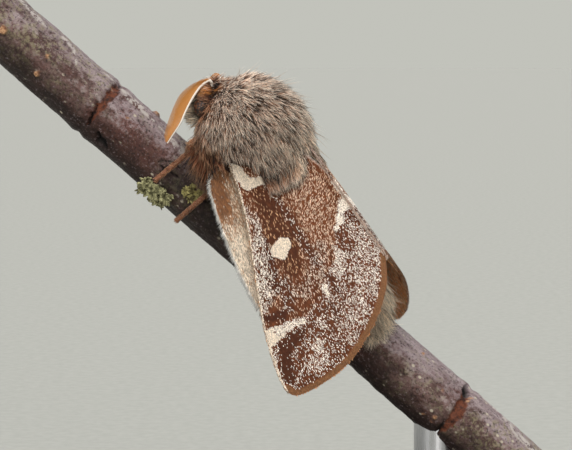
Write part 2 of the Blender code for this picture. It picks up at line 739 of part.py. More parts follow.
def main():
    clear_scene()
    materials = make_materials()
    model = new_collection("small_eggar_moth")
    cutters = new_collection("cutters")

    perch_seat = add_seat(
        "perch_seat", Matrix.Translation(TWIG_CENTRE) @ Matrix.Rotation(TWIG_TILT, 4, "Y"), model
    )
    turned = Matrix.Rotation(math.pi, 4, "Z")  # the nose points up the twig
    pose = (
        Matrix.Translation((SEAT_ALONG, -SEAT_NEAR, SEAT_OUT))
        @ Matrix.Rotation(NOSE_LIFT, 4, "Y")
        @ turned
        @ Matrix.Rotation(-LEAN, 4, "X")
    )
    moth_seat = add_seat("moth_seat", pose, model, perch_seat)
    bpy.context.view_layer.update()
    to_moth = pose.inverted()

    twig = finished(make_twig("perch_twig", model, perch_seat), materials["bark"])
    twig_cutter = make_twig("twig_cutter", cutters, perch_seat, GAP)
    make_stand(model, materials, twig_cutter)

    wing_cutters = []
    for side, hand in ((1, "left"), (-1, "right")):
        for kind, shape, rows in (("forewing", FOREWING, 10), ("hindwing", HINDWING, 7)):
            wing = make_wing(f"{kind}_{hand}", shape, side, model, moth_seat, rows)
            finished(wing, materials[kind])
            cutter = make_wing(f"{kind}_{hand}_cutter", shape, side, cutters, moth_seat, rows, SOFT_GAP)
            wing_cutters.append(cutter)

    leg_cutters = []
    for side, hand in ((1, "left"), (-1, "right")):
        for kind, leg in LEGS.items():
            path = leg_path(leg, side, to_moth)
            body = make_leg(f"{kind}_{hand}_leg", path, model, moth_seat)
            fused(f"leg_{kind}_{hand}", [body], [twig_cutter], model, moth_seat, materials["leg"])
            leg_cutters.append(make_leg(f"{kind}_{hand}_cutter", path, cutters, moth_seat, GAP))

    chance = random.Random(COAT_SEED)
    for name, patch in LICHEN.items():
        around = [twig_cutter] + leg_cutters
        make_lichen(name, lichen_places(patch, chance), model, perch_seat, around, materials["lichen"])

    feeler_cutters = []
    eye_cutters = []
    for side, hand in ((1, "left"), (-1, "right")):
        eye_place = Vector((EYE_CENTRE.x, side * EYE_CENTRE.y, EYE_CENTRE.z))
        radii = [EYE_RADIUS] * 3
        eye = ellipsoid(f"eye_{hand}", eye_place, radii, model, moth_seat, segments=16, rings=10)
        finished(eye, materials["eye"], 60)
        eye_cutters.append(ellipsoid(f"eye_{hand}_cutter", eye_place, radii, cutters, moth_seat, GAP, 16, 10))
        make_feeler(f"antenna_{hand}", side, model, moth_seat, [twig_cutter], 0.0, materials["feeler"])
        feeler_cutters += make_feeler(f"antenna_{hand}_cutter", side, cutters, moth_seat, grow=SOFT_GAP)

    head_surface = body_surface(HEAD_CENTRE, HEAD_RADII, back=False)
    head_core = ellipsoid("head_core", HEAD_CENTRE, HEAD_RADII, model, moth_seat, segments=16, rings=10)
    head_locks = coat("brow", head_surface, HEAD_COAT, random.Random(COAT_SEED + 1), model, moth_seat)
    around_head = eye_cutters + feeler_cutters + leg_cutters + [twig_cutter]
    fused("head", [head_core] + head_locks, around_head, model, moth_seat, materials["fur"])
    head_cutters = [ellipsoid("head_cutter", HEAD_CENTRE, HEAD_RADII, cutters, moth_seat, GAP, 16, 10)]
    head_cutters += coat(
        "brow_cutter", head_surface, HEAD_COAT, random.Random(COAT_SEED + 1), cutters, moth_seat, SOFT_GAP
    )

    abdomen = abdomen_core("abdomen_core", model, moth_seat)
    tail = tail_coat(model, moth_seat, random.Random(COAT_SEED + 2))
    around_tail = wing_cutters + leg_cutters + [twig_cutter]
    fused("abdomen", [abdomen] + tail, around_tail, model, moth_seat, materials["belly_fur"])
    abdomen_cutter = abdomen_core("abdomen_cutter", cutters, moth_seat, GAP)

    thorax_surface = body_surface(THORAX_CENTRE, THORAX_RADII)
    core = ellipsoid("thorax_core", THORAX_CENTRE, THORAX_RADII, model, moth_seat, segments=20, rings=12)
    locks = coat("coat", thorax_surface, THORAX_COAT, random.Random(COAT_SEED + 3), model, moth_seat)
    around_thorax = head_cutters + wing_cutters + leg_cutters + [abdomen_cutter, twig_cutter]
    around_thorax += eye_cutters + feeler_cutters
    fused("thorax", [core] + locks, around_thorax, model, moth_seat, materials["fur"])

    for obj in list(cutters.objects):
        bpy.data.objects.remove(obj)
    bpy.data.collections.remove(cutters)


main()
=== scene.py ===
# Small eggar moth at rest on a cut twig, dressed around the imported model
# Settings are in millimetres and degrees, in the moth's own axes unless a note says otherwise:
# X to the nose, Y to its left, Z out of its back. "along" runs down the twig.
import math

import bpy
import numpy as np
from mathutils import Matrix, Vector, noise


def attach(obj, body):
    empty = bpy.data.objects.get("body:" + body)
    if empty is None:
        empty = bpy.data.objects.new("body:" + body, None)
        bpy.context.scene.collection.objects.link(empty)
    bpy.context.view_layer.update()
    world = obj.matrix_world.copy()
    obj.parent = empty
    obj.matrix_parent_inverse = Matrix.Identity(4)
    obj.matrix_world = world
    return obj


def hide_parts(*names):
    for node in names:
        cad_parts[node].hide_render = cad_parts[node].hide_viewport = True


mm = 0.001
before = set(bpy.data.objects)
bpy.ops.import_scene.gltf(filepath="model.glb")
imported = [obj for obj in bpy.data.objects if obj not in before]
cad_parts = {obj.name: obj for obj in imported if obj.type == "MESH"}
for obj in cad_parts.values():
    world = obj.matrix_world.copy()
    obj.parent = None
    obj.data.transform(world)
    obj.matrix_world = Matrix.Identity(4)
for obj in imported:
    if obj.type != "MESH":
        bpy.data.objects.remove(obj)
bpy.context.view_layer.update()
print("frame loaded:", len(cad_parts), "nodes")

perch = {"centre": (-1.7, 0, 24.4), "tilt": 41, "length": 51, "radius": 2.2}
seat = {"along": -5.9, "near": 3.6, "out": 5.75, "noseLift": 16.8, "lean": 33.9}
sides = ((1, "Left"), (-1, "Right"))

twigMatrix = (
    Matrix.Translation(Vector(perch["centre"]) * mm) @ Matrix.Rotation(math.radians(perch["tilt"]), 4, "Y")
)
mothMatrix = (
    twigMatrix
    @ Matrix.Translation(Vector((seat["along"], -seat["near"], seat["out"])) * mm)
    @ Matrix.Rotation(math.radians(seat["noseLift"]), 4, "Y")
    @ Matrix.Rotation(math.pi, 4, "Z")
    @ Matrix.Rotation(-math.radians(seat["lean"]), 4, "X")
)


# Small helpers for numbers and curves

def smoothStep(value):
    value = np.clip(value, 0, 1)
    return value * value * (3 - 2 * value)


def mix(a, b, share):
    return a + (b - a) * share


def unit(vectors):
    return vectors / np.maximum(np.linalg.norm(vectors, axis=-1, keepdims=True), 1e-9)


def splineThrough(points, fine=240):
    # a smooth path through the points; the function it gives back goes along it at an even pace
    control = np.array(points, float)
    at = np.linspace(0, len(control) - 1, fine + 1)
    i = np.minimum(at.astype(int), len(control) - 2)
    t = (at - i)[:, None]
    a, b, c, d = (control[np.clip(i + k, 0, len(control) - 1)] for k in (-1, 0, 1, 2))
    path = b + 0.5 * ((c - a) * t + (2 * a - 5 * b + 4 * c - d) * t**2 + (3 * b - a - 3 * c + d) * t**3)
    way = np.r_[0, np.cumsum(np.linalg.norm(np.diff(path, axis=0), axis=1))]

    def pointAt(share):
        reached = np.asarray(share, float) * way[-1]
        return np.stack([np.interp(reached, way, path[:, k]) for k in range(path.shape[1])], -1)

    return pointAt


def softNoise(points, scale, seed=0.0):
    # smooth noise in about -1 to 1 at each point
    shift = Vector((seed, 2.7 * seed, -1.3 * seed))
    return np.array([noise.noise(Vector(p) / scale + shift) for p in points.tolist()])


def distanceTo(points, line):
    # how far each point is from a line of (x, y, half width) stops, less its half width there
    best = np.full(len(points), 1e9)
    for a, b in zip(line, line[1:] if len(line) > 1 else line):
        a, b = np.array(a, float), np.array(b, float)
        run = b[:2] - a[:2]
        t = np.clip((points - a[:2]) @ run / max(run @ run, 1e-12), 0, 1)
        away = np.linalg.norm(points - a[:2] - t[:, None] * run, axis=1)
        best = np.minimum(best, away - mix(a[2], b[2], t))
    return best


def awayFrom(points, middle, radii=1.0):
    # how far each point is from the middle, in radii
    return np.linalg.norm((points - np.array(middle)) / np.array(radii), axis=1)


def repeatFaces(faces, count, corners):
    # the faces of one shape over again for count shapes, each with its own corners
    faces = np.array(faces)
    return (faces[None] + (np.arange(count) * corners)[:, None, None]).reshape(-1, faces.shape[1])


def folded(points):
    # mirrors the right side's points onto the left
    return np.c_[points[:, 0], np.abs(points[:, 1]), points[:, 2]]


def inMap(spots):
    # keeps a piece's place in the unwrapped map inside its border
    return np.clip(spots, 0.002, 0.995)


# Small helpers for objects

def deselectAll():
    bpy.ops.object.select_all(action="DESELECT")


def onlySelect(obj):
    deselectAll()
    obj.select_set(True)
    bpy.context.view_layer.objects.active = obj


def addModifier(obj, kind, **settings):
    onlySelect(obj)
    modifier = obj.modifiers.new(kind.title(), kind)
    for key, value in settings.items():
        setattr(modifier, key, value)
    bpy.ops.object.modifier_apply(modifier=modifier.name)


def joinAll(objects, name):
    deselectAll()
    for obj in objects:
        obj.select_set(True)
    bpy.context.view_layer.objects.active = objects[0]
    bpy.ops.object.join()
    objects[0].name = name
    objects[0].data.name = name
    return objects[0]


def settle(obj, matrix=None, smooth=None):
    # puts the object's place in its mesh, so that the object itself sits at the origin
    onlySelect(obj)
    bpy.ops.object.transform_apply(location=True, rotation=True, scale=True)
    if matrix is not None:
        obj.data.transform(matrix)
    if smooth is not None:
        bpy.ops.object.shade_smooth_by_angle(angle=math.radians(smooth))


def pointsOf(mesh):
    places = np.empty(len(mesh.vertices) * 3, np.float32)
    mesh.vertices.foreach_get("co", places)
    return places.reshape(-1, 3).astype(float)


def setAttribute(mesh, label, values):
    # one number or one vector for each point
    kind, field = ("FLOAT", "value") if values.ndim == 1 else ("FLOAT_VECTOR", "vector")
    mesh.attributes.new(label, kind, "POINT").data.foreach_set(field, values.astype(np.float32).ravel())


def meshFrom(name, points, faces, uvs=None, attributes=None, smooth=True):
    # a mesh object from arrays in the moth's axes; uvs and attributes hold one entry for each point
    mesh = bpy.data.meshes.new(name)
    turn = np.array(mothMatrix)
    places = (points * mm) @ turn[:3, :3].T + turn[:3, 3]
    mesh.vertices.add(len(points))
    mesh.vertices.foreach_set("co", places.astype(np.float32).ravel())
    corners = faces.astype(np.int32).ravel()
    mesh.loops.add(len(corners))
    mesh.loops.foreach_set("vertex_index", corners)
    mesh.polygons.add(len(faces))
    mesh.polygons.foreach_set("loop_start", np.arange(0, len(corners), faces.shape[1], dtype=np.int32))
    mesh.polygons.foreach_set("use_smooth", np.full(len(faces), smooth))
    mesh.update(calc_edges=True)
    for label, uv in (uvs or {}).items():
        mesh.uv_layers.new(name=label).uv.foreach_set("vector", uv[corners].astype(np.float32).ravel())
    for label, values in (attributes or {}).items():
        setAttribute(mesh, label, values)
    obj = bpy.data.objects.new(name, mesh)
    bpy.context.scene.collection.objects.link(obj)
    return obj


def dress(obj, material, slot, *nodes):
    # gives a finished piece its material, hangs it under the root, and hides the imported nodes that it
    # stands for; the slot is not used
    obj.data.materials.clear()
    obj.data.materials.append(material)
    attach(obj, "root")
    if nodes:
        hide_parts(*nodes)


# Shader helpers

def srgb(red, green, blue):
    # a colour as a paint program shows it, 0 to 255
    tones = (((c / 255 + 0.055) / 1.055) ** 2.4 if c > 10 else c / 3294.6 for c in (red, green, blue))
    return (*tones, 1)


def plug(tree, socket, value):
    # links another node's output, or sets a plain value
    if isinstance(value, bpy.types.NodeSocket):
        tree.links.new(value, socket)
    else:
        socket.default_value = value


def addNode(tree, kind, feeds=None, **settings):
    made = tree.nodes.new("ShaderNode" + kind)
    for key, value in settings.items():
        setattr(made, key, value)
    for key, value in (feeds or {}).items():
        plug(tree, made.inputs[key], value)
    return made


def blend(tree, share, a, b, how="MIX"):
    return addNode(tree, "Mix", {0: share, 6: a, 7: b}, data_type="RGBA", blend_type=how).outputs[2]


def maths(tree, how, a, b=0.0, c=0.0):
    return addNode(tree, "Math", {0: a, 1: b, 2: c}, operation=how).outputs[0]


def times(tree, a, b):
    return maths(tree, "MULTIPLY", a, b)


def timesPlus(tree, a, b, c):
    return maths(tree, "MULTIPLY_ADD", a, b, c)


def rise(tree, value, low, high, start=0.0, end=1.0):
    # start below low, end above high, and a smooth change between
    feeds = {"Value": value, "From Min": low, "From Max": high, "To Min": start, "To Max": end}
    return addNode(tree, "MapRange", feeds, interpolation_type="SMOOTHSTEP").outputs[0]


def noiseOf(tree, vector, scale, detail=3.0, rough=0.6):
    feeds = {"Vector": vector, "Scale": scale, "Detail": detail, "Roughness": rough}
    return addNode(tree, "TexNoise", feeds).outputs["Fac"]


def onObject(tree):
    return addNode(tree, "TexCoord").outputs["Object"]


def attribute(tree, name, output="Fac"):
    return addNode(tree, "Attribute", attribute_name=name).outputs[output]


def partsOf(tree, name):
    # the X, Y and Z of a vector attribute
    return addNode(tree, "SeparateXYZ", {0: attribute(tree, name, "Vector")}).outputs


def shadedBy(tree, colour, level):
    grey = addNode(tree, "CombineColor", {0: level, 1: level, 2: level}).outputs[0]
    return blend(tree, 1.0, colour, grey, "MULTIPLY")


def newGroup(name, colours, inputs, outputs):
    # an input is a kind of socket, or the number that it starts at
    group = bpy.data.node_groups.new(name, "ShaderNodeTree")
    for label, start in {**dict.fromkeys(colours, "Color"), **inputs}.items():
        kind = start if isinstance(start, str) else "Float"
        socket = group.interface.new_socket(label, in_out="INPUT", socket_type="NodeSocket" + kind)
        if kind != start:
            socket.default_value = start
    for label, kind in outputs.items():
        group.interface.new_socket(label, in_out="OUTPUT", socket_type="NodeSocket" + kind)
    return group, group.nodes.new("NodeGroupInput").outputs, group.nodes.new("NodeGroupOutput").inputs


def useGroup(tree, group, feeds):
    return addNode(tree, "Group", feeds, node_tree=group).outputs


def newMaterial(name, values=None):
    # a Principled material with its plain values set on the shader's own sockets
    material = bpy.data.materials.new(name)
    material.use_nodes = True
    shader = material.node_tree.nodes["Principled BSDF"]
    for key, value in (values or {}).items():
        shader.inputs[key].default_value = value
    return material, material.node_tree, shader


def feed(tree, shader, **sockets):
    names = {"colour": "Base Color", "roughness": "Roughness", "normal": "Normal"}
    for key, socket in sockets.items():
        tree.links.new(socket, shader.inputs[names[key]])


def bump(tree, height, depth, distance=0.02 * mm):
    return addNode(tree, "Bump", {"Height": height, "Strength": depth, "Distance": distance}).outputs[0]


# Shader groups that several materials share

def buildHairGroup():
    # one hair's colour: dark at its root and paler at its tip, with every hair a little different
    group, given, out = newGroup(
        "hairTone", ("Root", "Middle", "Tip", "Brown Tint", "Cream", "Orange"),
        {"Dark Hairs": 0.3, "Patchiness": 0.35, "Patch Size": 0.7, "Contrast": 0.5},
        {"Color": "Color", "Roughness": "Float"},
    )
    along, chance = attribute(group, "along"), attribute(group, "chance")
    lower = blend(group, rise(group, along, 0.1, 0.62), given["Root"], given["Middle"])
    mixed = blend(group, rise(group, along, 0.5, 0.95), lower, given["Tip"])
    dark = maths(group, "LESS_THAN", chance, given["Dark Hairs"])
    dusky = blend(group, 0.25, given["Root"], given["Middle"])
    mixed = blend(group, times(group, dark, 0.85), mixed, dusky)
    shades = partsOf(group, "shades")
    mixed = blend(group, shades["X"], mixed, blend(group, 1.0, mixed, given["Brown Tint"], "MULTIPLY"))
    paleShare = times(group, shades["Y"], rise(group, along, 0.1, 0.6, 0.55, 1.0))
    mixed = blend(group, paleShare, mixed, given["Cream"])
    mixed = blend(group, times(group, shades["Z"], 0.85), mixed, given["Orange"])
    # the size is in patches a millimetre, as "place" holds millimetres
    cloud = noiseOf(group, attribute(group, "place", "Vector"), given["Patch Size"])
    patches = rise(group, cloud, 0.35, 0.65, -1.0, 1.0)
    own = timesPlus(group, maths(group, "SUBTRACT", chance, 0.5), given["Contrast"], 1.0)
    level = timesPlus(group, patches, given["Patchiness"], own)
    group.links.new(shadedBy(group, mixed, level), out["Color"])
    group.links.new(rise(group, along, 0.0, 1.0, 0.75, 0.5), out["Roughness"])
    return group


def buildScaleGroup():
    # wing colour from the marks: pale scales among brown ones, and cream patches
    group, given, out = newGroup(
        "scaleTone", ("Brown", "Dark", "Fleck", "Cream", "Rim", "Tan"),
        {"Variation": 0.35, "Speckle": 1.0, "Mottle": 0.7}, {"Color": "Color", "Roughness": "Float"},
    )
    marks = partsOf(group, "marks")
    chance, tone = attribute(group, "chance"), attribute(group, "tone")
    mottled = timesPlus(group, maths(group, "SUBTRACT", tone, 0.5), given["Mottle"], marks["Y"])
    ground = blend(group, mottled, given["Brown"], given["Dark"])
    # a dark mark below nought stands for the plain rim
    ground = blend(group, times(group, marks["Y"], -1.0), ground, given["Rim"])
    white = blend(group, marks["Z"], given["Fleck"], given["Cream"])
    # and a cream mark below nought for tan flecks
    white = blend(group, times(group, marks["Z"], -1.0), white, given["Tan"])
    isPale = maths(group, "LESS_THAN", chance, marks["X"])
    evenly = times(group, marks["X"], maths(group, "SUBTRACT", 1.0, given["Speckle"]))
    colour = blend(group, timesPlus(group, isPale, given["Speckle"], evenly), ground, white)
    half = times(group, given["Variation"], 0.5)
    level = timesPlus(group, tone, given["Variation"], maths(group, "SUBTRACT", 1.0, half))
    group.links.new(shadedBy(group, colour, level), out["Color"])
    group.links.new(timesPlus(group, isPale, -0.12, 0.68), out["Roughness"])
    return group


def buildGrainGroup():
    # fine bumps, for surfaces with no coat
    group, given, out = newGroup(
        "fineGrain", (), {"Vector": "Vector", "Size": 3000.0, "Depth": 0.3},
        {"Fac": "Float", "Normal": "Vector"},
    )
    fine = noiseOf(group, given["Vector"], given["Size"], 4.0, 0.65)
    group.links.new(fine, out["Fac"])
    group.links.new(bump(group, fine, given["Depth"], 0.03 * mm), out["Normal"])
    return group


hairTone = buildHairGroup()
scaleTone = buildScaleGroup()
fineGrain = buildGrainGroup()


def grainOf(tree, size, depth):
    return useGroup(tree, fineGrain, {"Vector": onObject(tree), "Size": size, "Depth": depth})


furTint = {"brown": (0.44, 0.27, 0.18), "cream": (236, 220, 196), "orange": (190, 126, 64)}


def hairMaterial(name, root, middle, tip, darkHairs, patchiness, contrast=0.5):
    shine = {"Sheen Weight": 0.1, "Sheen Roughness": 0.4, "Specular IOR Level": 0.35}
    material, tree, shader = newMaterial(name, shine)
    tone = useGroup(tree, hairTone, {
        "Root": srgb(*root), "Middle": srgb(*middle), "Tip": srgb(*tip),
        "Dark Hairs": darkHairs, "Patchiness": patchiness, "Contrast": contrast,
        "Brown Tint": furTint["brown"] + (1,), "Cream": srgb(*furTint["cream"]),
        "Orange": srgb(*furTint["orange"]),
    })
    feed(tree, shader, colour=tone["Color"], roughness=tone["Roughness"])
    return material


print("shader groups ready")


# Coat makers: all the hairs or scales of one piece as one joined mesh

# what a coat has where its own settings say nothing
plainHair = {"rings": 3, "clump": 4, "pull": 0.9, "wave": 0.03, "loose": 1.0, "sink": 0.06}
plainScale = {"tipRise": 0.03, "arch": 0.01, "sink": 0.02, "paleLift": 0.0, "layers": 1}
# steps along a hair from ring to ring, and how much of the unwrapped map one hair or scale takes
hairSteps = 6
tuftSize = 0.003


def growHairs(name, roots, ups, lies, look, unwrap, shadesAt, seed, place=None, drape=None):
    # closed three-sided hairs that leave the skin at "lift" and bend over to the lie
    look = {**plainHair, **look}
    chance = np.random.default_rng(seed)
    count = len(roots)
    rings = look["rings"]
    groups = np.arange(count) // look["clump"]
    lead = groups * look["clump"]

    def ofLead(key):
        # a setting may be one number, or an array with one for each hair
        return np.broadcast_to(look[key], count)[lead]

    up, lie = ups[lead], lies[lead]
    jitter = chance.normal(0, 1, (count, 3)) * look["clumpSize"]
    jitter -= (jitter * up).sum(1, keepdims=True) * up
    foot = roots[lead] + jitter
    turn = chance.normal(0, 1, groups.max() + 1)[groups] + 0.35 * chance.normal(0, 1, count)
    turn *= look["stray"]
    side = np.cross(up, lie)
    lie = unit(lie * np.cos(turn)[:, None] + side * np.sin(turn)[:, None])
    side = np.cross(up, lie)
    long = ofLead("length") * (0.8 + 0.4 * chance.random(count))
    liftRoot = np.radians(ofLead("lift")) * (0.85 + 0.3 * chance.random(count))
    liftTip = np.radians(ofLead("tipLift")) + 0.12 * chance.normal(0, 1, count)
    thick = ofLead("width") * (0.8 + 0.4 * chance.random(count)) / 2
    wave = look["wave"] * chance.normal(0, 1, count)
    steps = hairSteps * rings
    middle = foot - up * look["sink"]
    path = [middle]
    for k in range(1, steps + 1):
        lift = mix(liftRoot, liftTip, (k - 0.5) / steps)[:, None]
        middle = middle + (lie * np.cos(lift) + up * np.sin(lift)) * (long / steps)[:, None]
        if k % hairSteps == 0:
            share = k / steps
            waved = side * (wave * math.sin(3.1 * share))[:, None]
            path.append(middle - jitter * look["pull"] * share**1.5 + waved)
    path = np.stack(path, 1)
    if drape is not None:
        path = drape(path, lead)
    ahead = unit(np.gradient(path, axis=1))
    across = unit(np.cross(up[:, None, :], ahead))
    out = np.cross(ahead, across)
    shares = np.arange(rings + 1) / rings
    wide = (1 - shares**2.2) * (0.85 + 0.3 * np.sin(math.pi * shares))
    corners = 3 * rings + 1
    points = np.empty((count, corners, 3))
    for k in range(rings):
        for c, angle in enumerate((90, 210, 330)):
            a = math.radians(angle)
            offset = across[:, k] * math.cos(a) + out[:, k] * math.sin(a)
            points[:, 3 * k + c] = path[:, k] + offset * (thick * wide[k])[:, None]
    points[:, -1] = path[:, -1]
    faces = [(0, 2, 1)]
    for k in range(rings - 1):
        for c in range(3):
            a, b = 3 * k + c, 3 * k + (c + 1) % 3
            faces += [(a, b, b + 3), (a, b + 3, a + 3)]
    last = 3 * (rings - 1)
    faces += [(last + c, last + (c + 1) % 3, last + 3) for c in range(3)]
    along = np.r_[np.repeat(shares[:-1], 3), 1.0]
    patch = np.c_[np.r_[np.tile((0, 1, 0.5), rings), 0.5], along] * tuftSize
    spots = np.repeat(unwrap(foot), corners, axis=0) + np.tile(patch, (count, 1))
    place = foot if place is None else place[lead] + jitter
    tone = mix(chance.random(groups.max() + 1)[groups], chance.random(count), look["loose"])
    return meshFrom(name, points.reshape(-1, 3), repeatFaces(faces, count, corners), {"OFBake": spots}, {
        "along": np.tile(along, count), "chance": np.repeat(tone, corners),
        "place": np.repeat(place, corners, axis=0), "shades": np.repeat(shadesAt(place), corners, axis=0),
    })


def layScales(name, centres, ups, forwards, look, spots, marks, seed):
    # flat kites, each a closed shape of four faces, that overlap towards the wing's edge
    look = {**plainScale, **look}
    chance = np.random.default_rng(seed)
    count = len(centres)
    turn = np.radians(look["scatter"]) * chance.normal(0, 1, count)
    side = np.cross(ups, forwards)
    forward = unit(forwards * np.cos(turn)[:, None] + side * np.sin(turn)[:, None])
    side = np.cross(ups, forward)
    own = chance.random(count)
    # pale scales lie uppermost, so fewer of them show as much
    marks = np.c_[1 - (1 - marks[:, 0]) ** (1 / look["layers"]), marks[:, 1:]]
    pale = own < marks[:, 0]
    grown = np.where(pale, 1 + 0.7 * np.maximum(-marks[:, 2], 0), 1.0)
    centres = centres + ups * np.where(pale, look["paleLift"], 0.0)[:, None]
    long = (look["length"] * (0.75 + 0.5 * chance.random(count)) * grown)[:, None]
    wide = (look["width"] * (0.8 + 0.4 * chance.random(count)))[:, None]
    tip = (look["tipRise"] * (0.4 + 1.2 * chance.random(count)))[:, None]
    middle = centres + forward * long * 0.08 + ups * (tip * 0.4 + look["arch"])
    points = np.stack([
        centres - forward * long * 0.55 - ups * look["sink"], middle + side * wide / 2,
        centres + forward * long * 0.45 + ups * tip, middle - side * wide / 2,
    ], 1)
    faces = ((0, 3, 1), (1, 3, 2), (0, 1, 2), (0, 2, 3))
    patch = np.array([(0.5, 0), (1, 0.5), (0.5, 1), (0, 0.5)]) * tuftSize
    spots = np.repeat(spots, 4, axis=0) + np.tile(patch, (count, 1))
    return meshFrom(name, points.reshape(-1, 3), repeatFaces(faces, count, 4), {"OFBake": spots}, {
        "chance": np.repeat(own, 4), "tone": np.repeat(chance.random(count), 4),
        "marks": np.repeat(marks, 4, axis=0),
    }, smooth=False)


# Camera, light and floor

view = {"target": (-0.3, 0, 26.27), "elevation": 4, "distance": 165, "lens": 150, "sensor": 36}


def setCamera():
    lift = math.radians(view["elevation"])
    away = Vector((0, -math.cos(lift), math.sin(lift))) * view["distance"]
    bpy.ops.object.camera_add(location=(Vector(view["target"]) + away) * mm)
    camera = bpy.context.object
    camera.name = "camera"
    camera.rotation_euler = away.to_track_quat("Z", "Y").to_euler()
    camera.data.lens = view["lens"]
    camera.data.sensor_width = view["sensor"]
    camera.data.clip_start = 5 * mm
    camera.data.clip_end = 20
    bpy.context.scene.camera = camera


backdrop = {"radius": 9000, "tones": ((172, 173, 166), (180, 181, 174)), "roughness": 0.9,
            "horizon": (0.5395, 0.543, 0.497), "sky": (0.43, 0.44, 0.46)}
# broad lights from far off, so that the floor is lit alike all over
lamps = {
    "key": {"from": (-0.08, -0.52, 0.95), "angle": 40, "power": 1.84, "colour": (1.0, 0.97, 0.93)},
    "fill": {"from": (-0.76, -0.98, 0.3), "angle": 31, "power": 0.49, "colour": (1.0, 0.985, 0.96)},
    "low": {"from": (0.34, -1.0, 0.13), "angle": 20, "power": 0.84, "colour": (1.0, 0.98, 0.95)},
    "back": {"from": (0.6, 1.0, 0.83), "angle": 34, "power": 0.7, "colour": (1.0, 0.98, 0.95)},
}


def setLights():
    for name, lamp in lamps.items():
        bpy.ops.object.light_add(type="SUN")
        light = bpy.context.object
        light.name = name
        light.data.energy = lamp["power"]
        light.data.angle = math.radians(lamp["angle"])
        light.data.color = lamp["colour"]
        light.rotation_euler = Vector(lamp["from"]).to_track_quat("Z", "Y").to_euler()
    world = bpy.data.worlds.new("studio")
    world.use_nodes = True
    tree = world.node_tree
    tall = addNode(tree, "SeparateXYZ", {0: addNode(tree, "TexCoord").outputs["Generated"]}).outputs["Z"]
    sky = blend(tree, rise(tree, tall, 0.05, 0.45), backdrop["horizon"] + (1,), backdrop["sky"] + (1,))
    tree.links.new(sky, tree.nodes["Background"].inputs["Color"])
    tree.nodes["Background"].inputs["Strength"].default_value = 1.0
    bpy.context.scene.world = world
    bpy.context.scene.view_settings.view_transform = "Standard"


def setFloor():
    bpy.ops.mesh.primitive_circle_add(vertices=96, radius=backdrop["radius"] * mm, fill_type="NGON")
    floor = bpy.context.object
    floor.name = "floor"
    material, tree, shader = newMaterial("floorPaper", {"Roughness": backdrop["roughness"]})
    paper = rise(tree, noiseOf(tree, onObject(tree), 900.0, 4.0), 0.3, 0.7)
    feed(tree, shader, colour=blend(tree, paper, *(srgb(*tone) for tone in backdrop["tones"])))
    floor.data.materials.append(material)


setCamera()
setLights()
setFloor()
print("camera, lights and floor set")


# Wings: both pairs lie on one roof that falls from a ridge over the back, as in the solids

roof = {
    "height": 3.3, "rise": 0.062, "ridgeSlope": 20, "hingeSlope": 38, "slope": 57, "opensAt": -7.0,
    "round": 2.0, "overlap": (0.45, 0.08), "overlapWay": 3.0, "dive": 0.8, "diveShare": 0.16,
}


def roofPoint(x, out, drop, side):
    # a point on the roof, and the way out of it there; out is the way from the ridge along the wing
    start = mix(roof["ridgeSlope"], roof["hingeSlope"], smoothStep(1 - x / roof["opensAt"]))

    def slopeAt(way):
        return np.radians(mix(roof["slope"], start, np.exp(-np.maximum(way, 0) / roof["round"])))

    y = np.zeros_like(x)
    z = roof["height"] - roof["rise"] * x
    steps = 20
    for k in range(steps):
        slope = slopeAt(out * (k + 0.5) / steps)
        y = y + np.cos(slope) * out / steps
        z = z - np.sin(slope) * out / steps
    slope = slopeAt(out)
    up = np.stack([np.zeros_like(x), side * np.sin(slope), np.cos(slope)], -1)
    return np.stack([x, side * y, z], -1) - up * np.asarray(drop)[..., None], up


forewing = {
    "costa": ((1.2, 4.3), (-0.56, 5.2), (-2.43, 5.75), (-4.71, 6.69), (-7.48, 8.06), (-10.55, 9.52),
              (-12.18, 10.18), (-14.24, 10.8), (-15.4, 10.95)),
    "termen": ((-15.4, 10.95), (-16.1, 10.5), (-16.3, 8.7), (-16.1, 6.7), (-15.52, 5.06), (-14.4, 3.04),
               (-13.03, 1.43), (-11.4, 0.32)),
    "dorsum": ((0.6, 2.7), (-1.6, 1.5), (-4.2, 0.45), (-7.4, 0.32), (-11.4, 0.32)),
    "stems": (0.05, 0.30, 0.62, 0.90), "branches": (0.17, 0.42, 0.52, 0.76), "drop": 0.0,
}
hindwing = {
    "costa": ((0.5, 4.7), (-0.5, 6.3), (-1.21, 7.16), (-2.45, 7.63), (-3.89, 8.12), (-6.28, 8.77),
              (-8.5, 9.15), (-10.6, 9.4)),
    "termen": ((-10.6, 9.4), (-12.1, 8.6), (-12.6, 6.6), (-12.0, 4.2), (-9.8, 1.9)),
    "dorsum": ((-0.4, 3.1), (-2.6, 1.9), (-6.0, 1.3), (-9.8, 1.9)),
    "stems": (0.06, 0.34, 0.66, 0.92), "branches": (0.20, 0.50, 0.80), "drop": 0.94,
}
membrane = {"rows": 120, "columns": 68, "depth": 0.14, "thickness": 0.1, "vein": 0.07, "veinWidth": 0.011}


def planOf(shape):
    # the wing's outline filled in: a function from shares (to the tip, from the costa) to (x, out)
    edges = {key: splineThrough(shape[key]) for key in ("costa", "termen", "dorsum")}
    c0, d0, c1, d1 = edges["costa"](0), edges["dorsum"](0), edges["termen"](0), edges["termen"](1)

    def at(p, q):
        p, q = np.asarray(p, float)[..., None], np.asarray(q, float)[..., None]
        across = mix(edges["costa"](p[..., 0]), edges["dorsum"](p[..., 0]), q)
        onward = mix(mix(c0, d0, q), edges["termen"](q[..., 0]), p)
        return across + onward - mix(mix(c0, d0, q), mix(c1, d1, q), p)

    return at


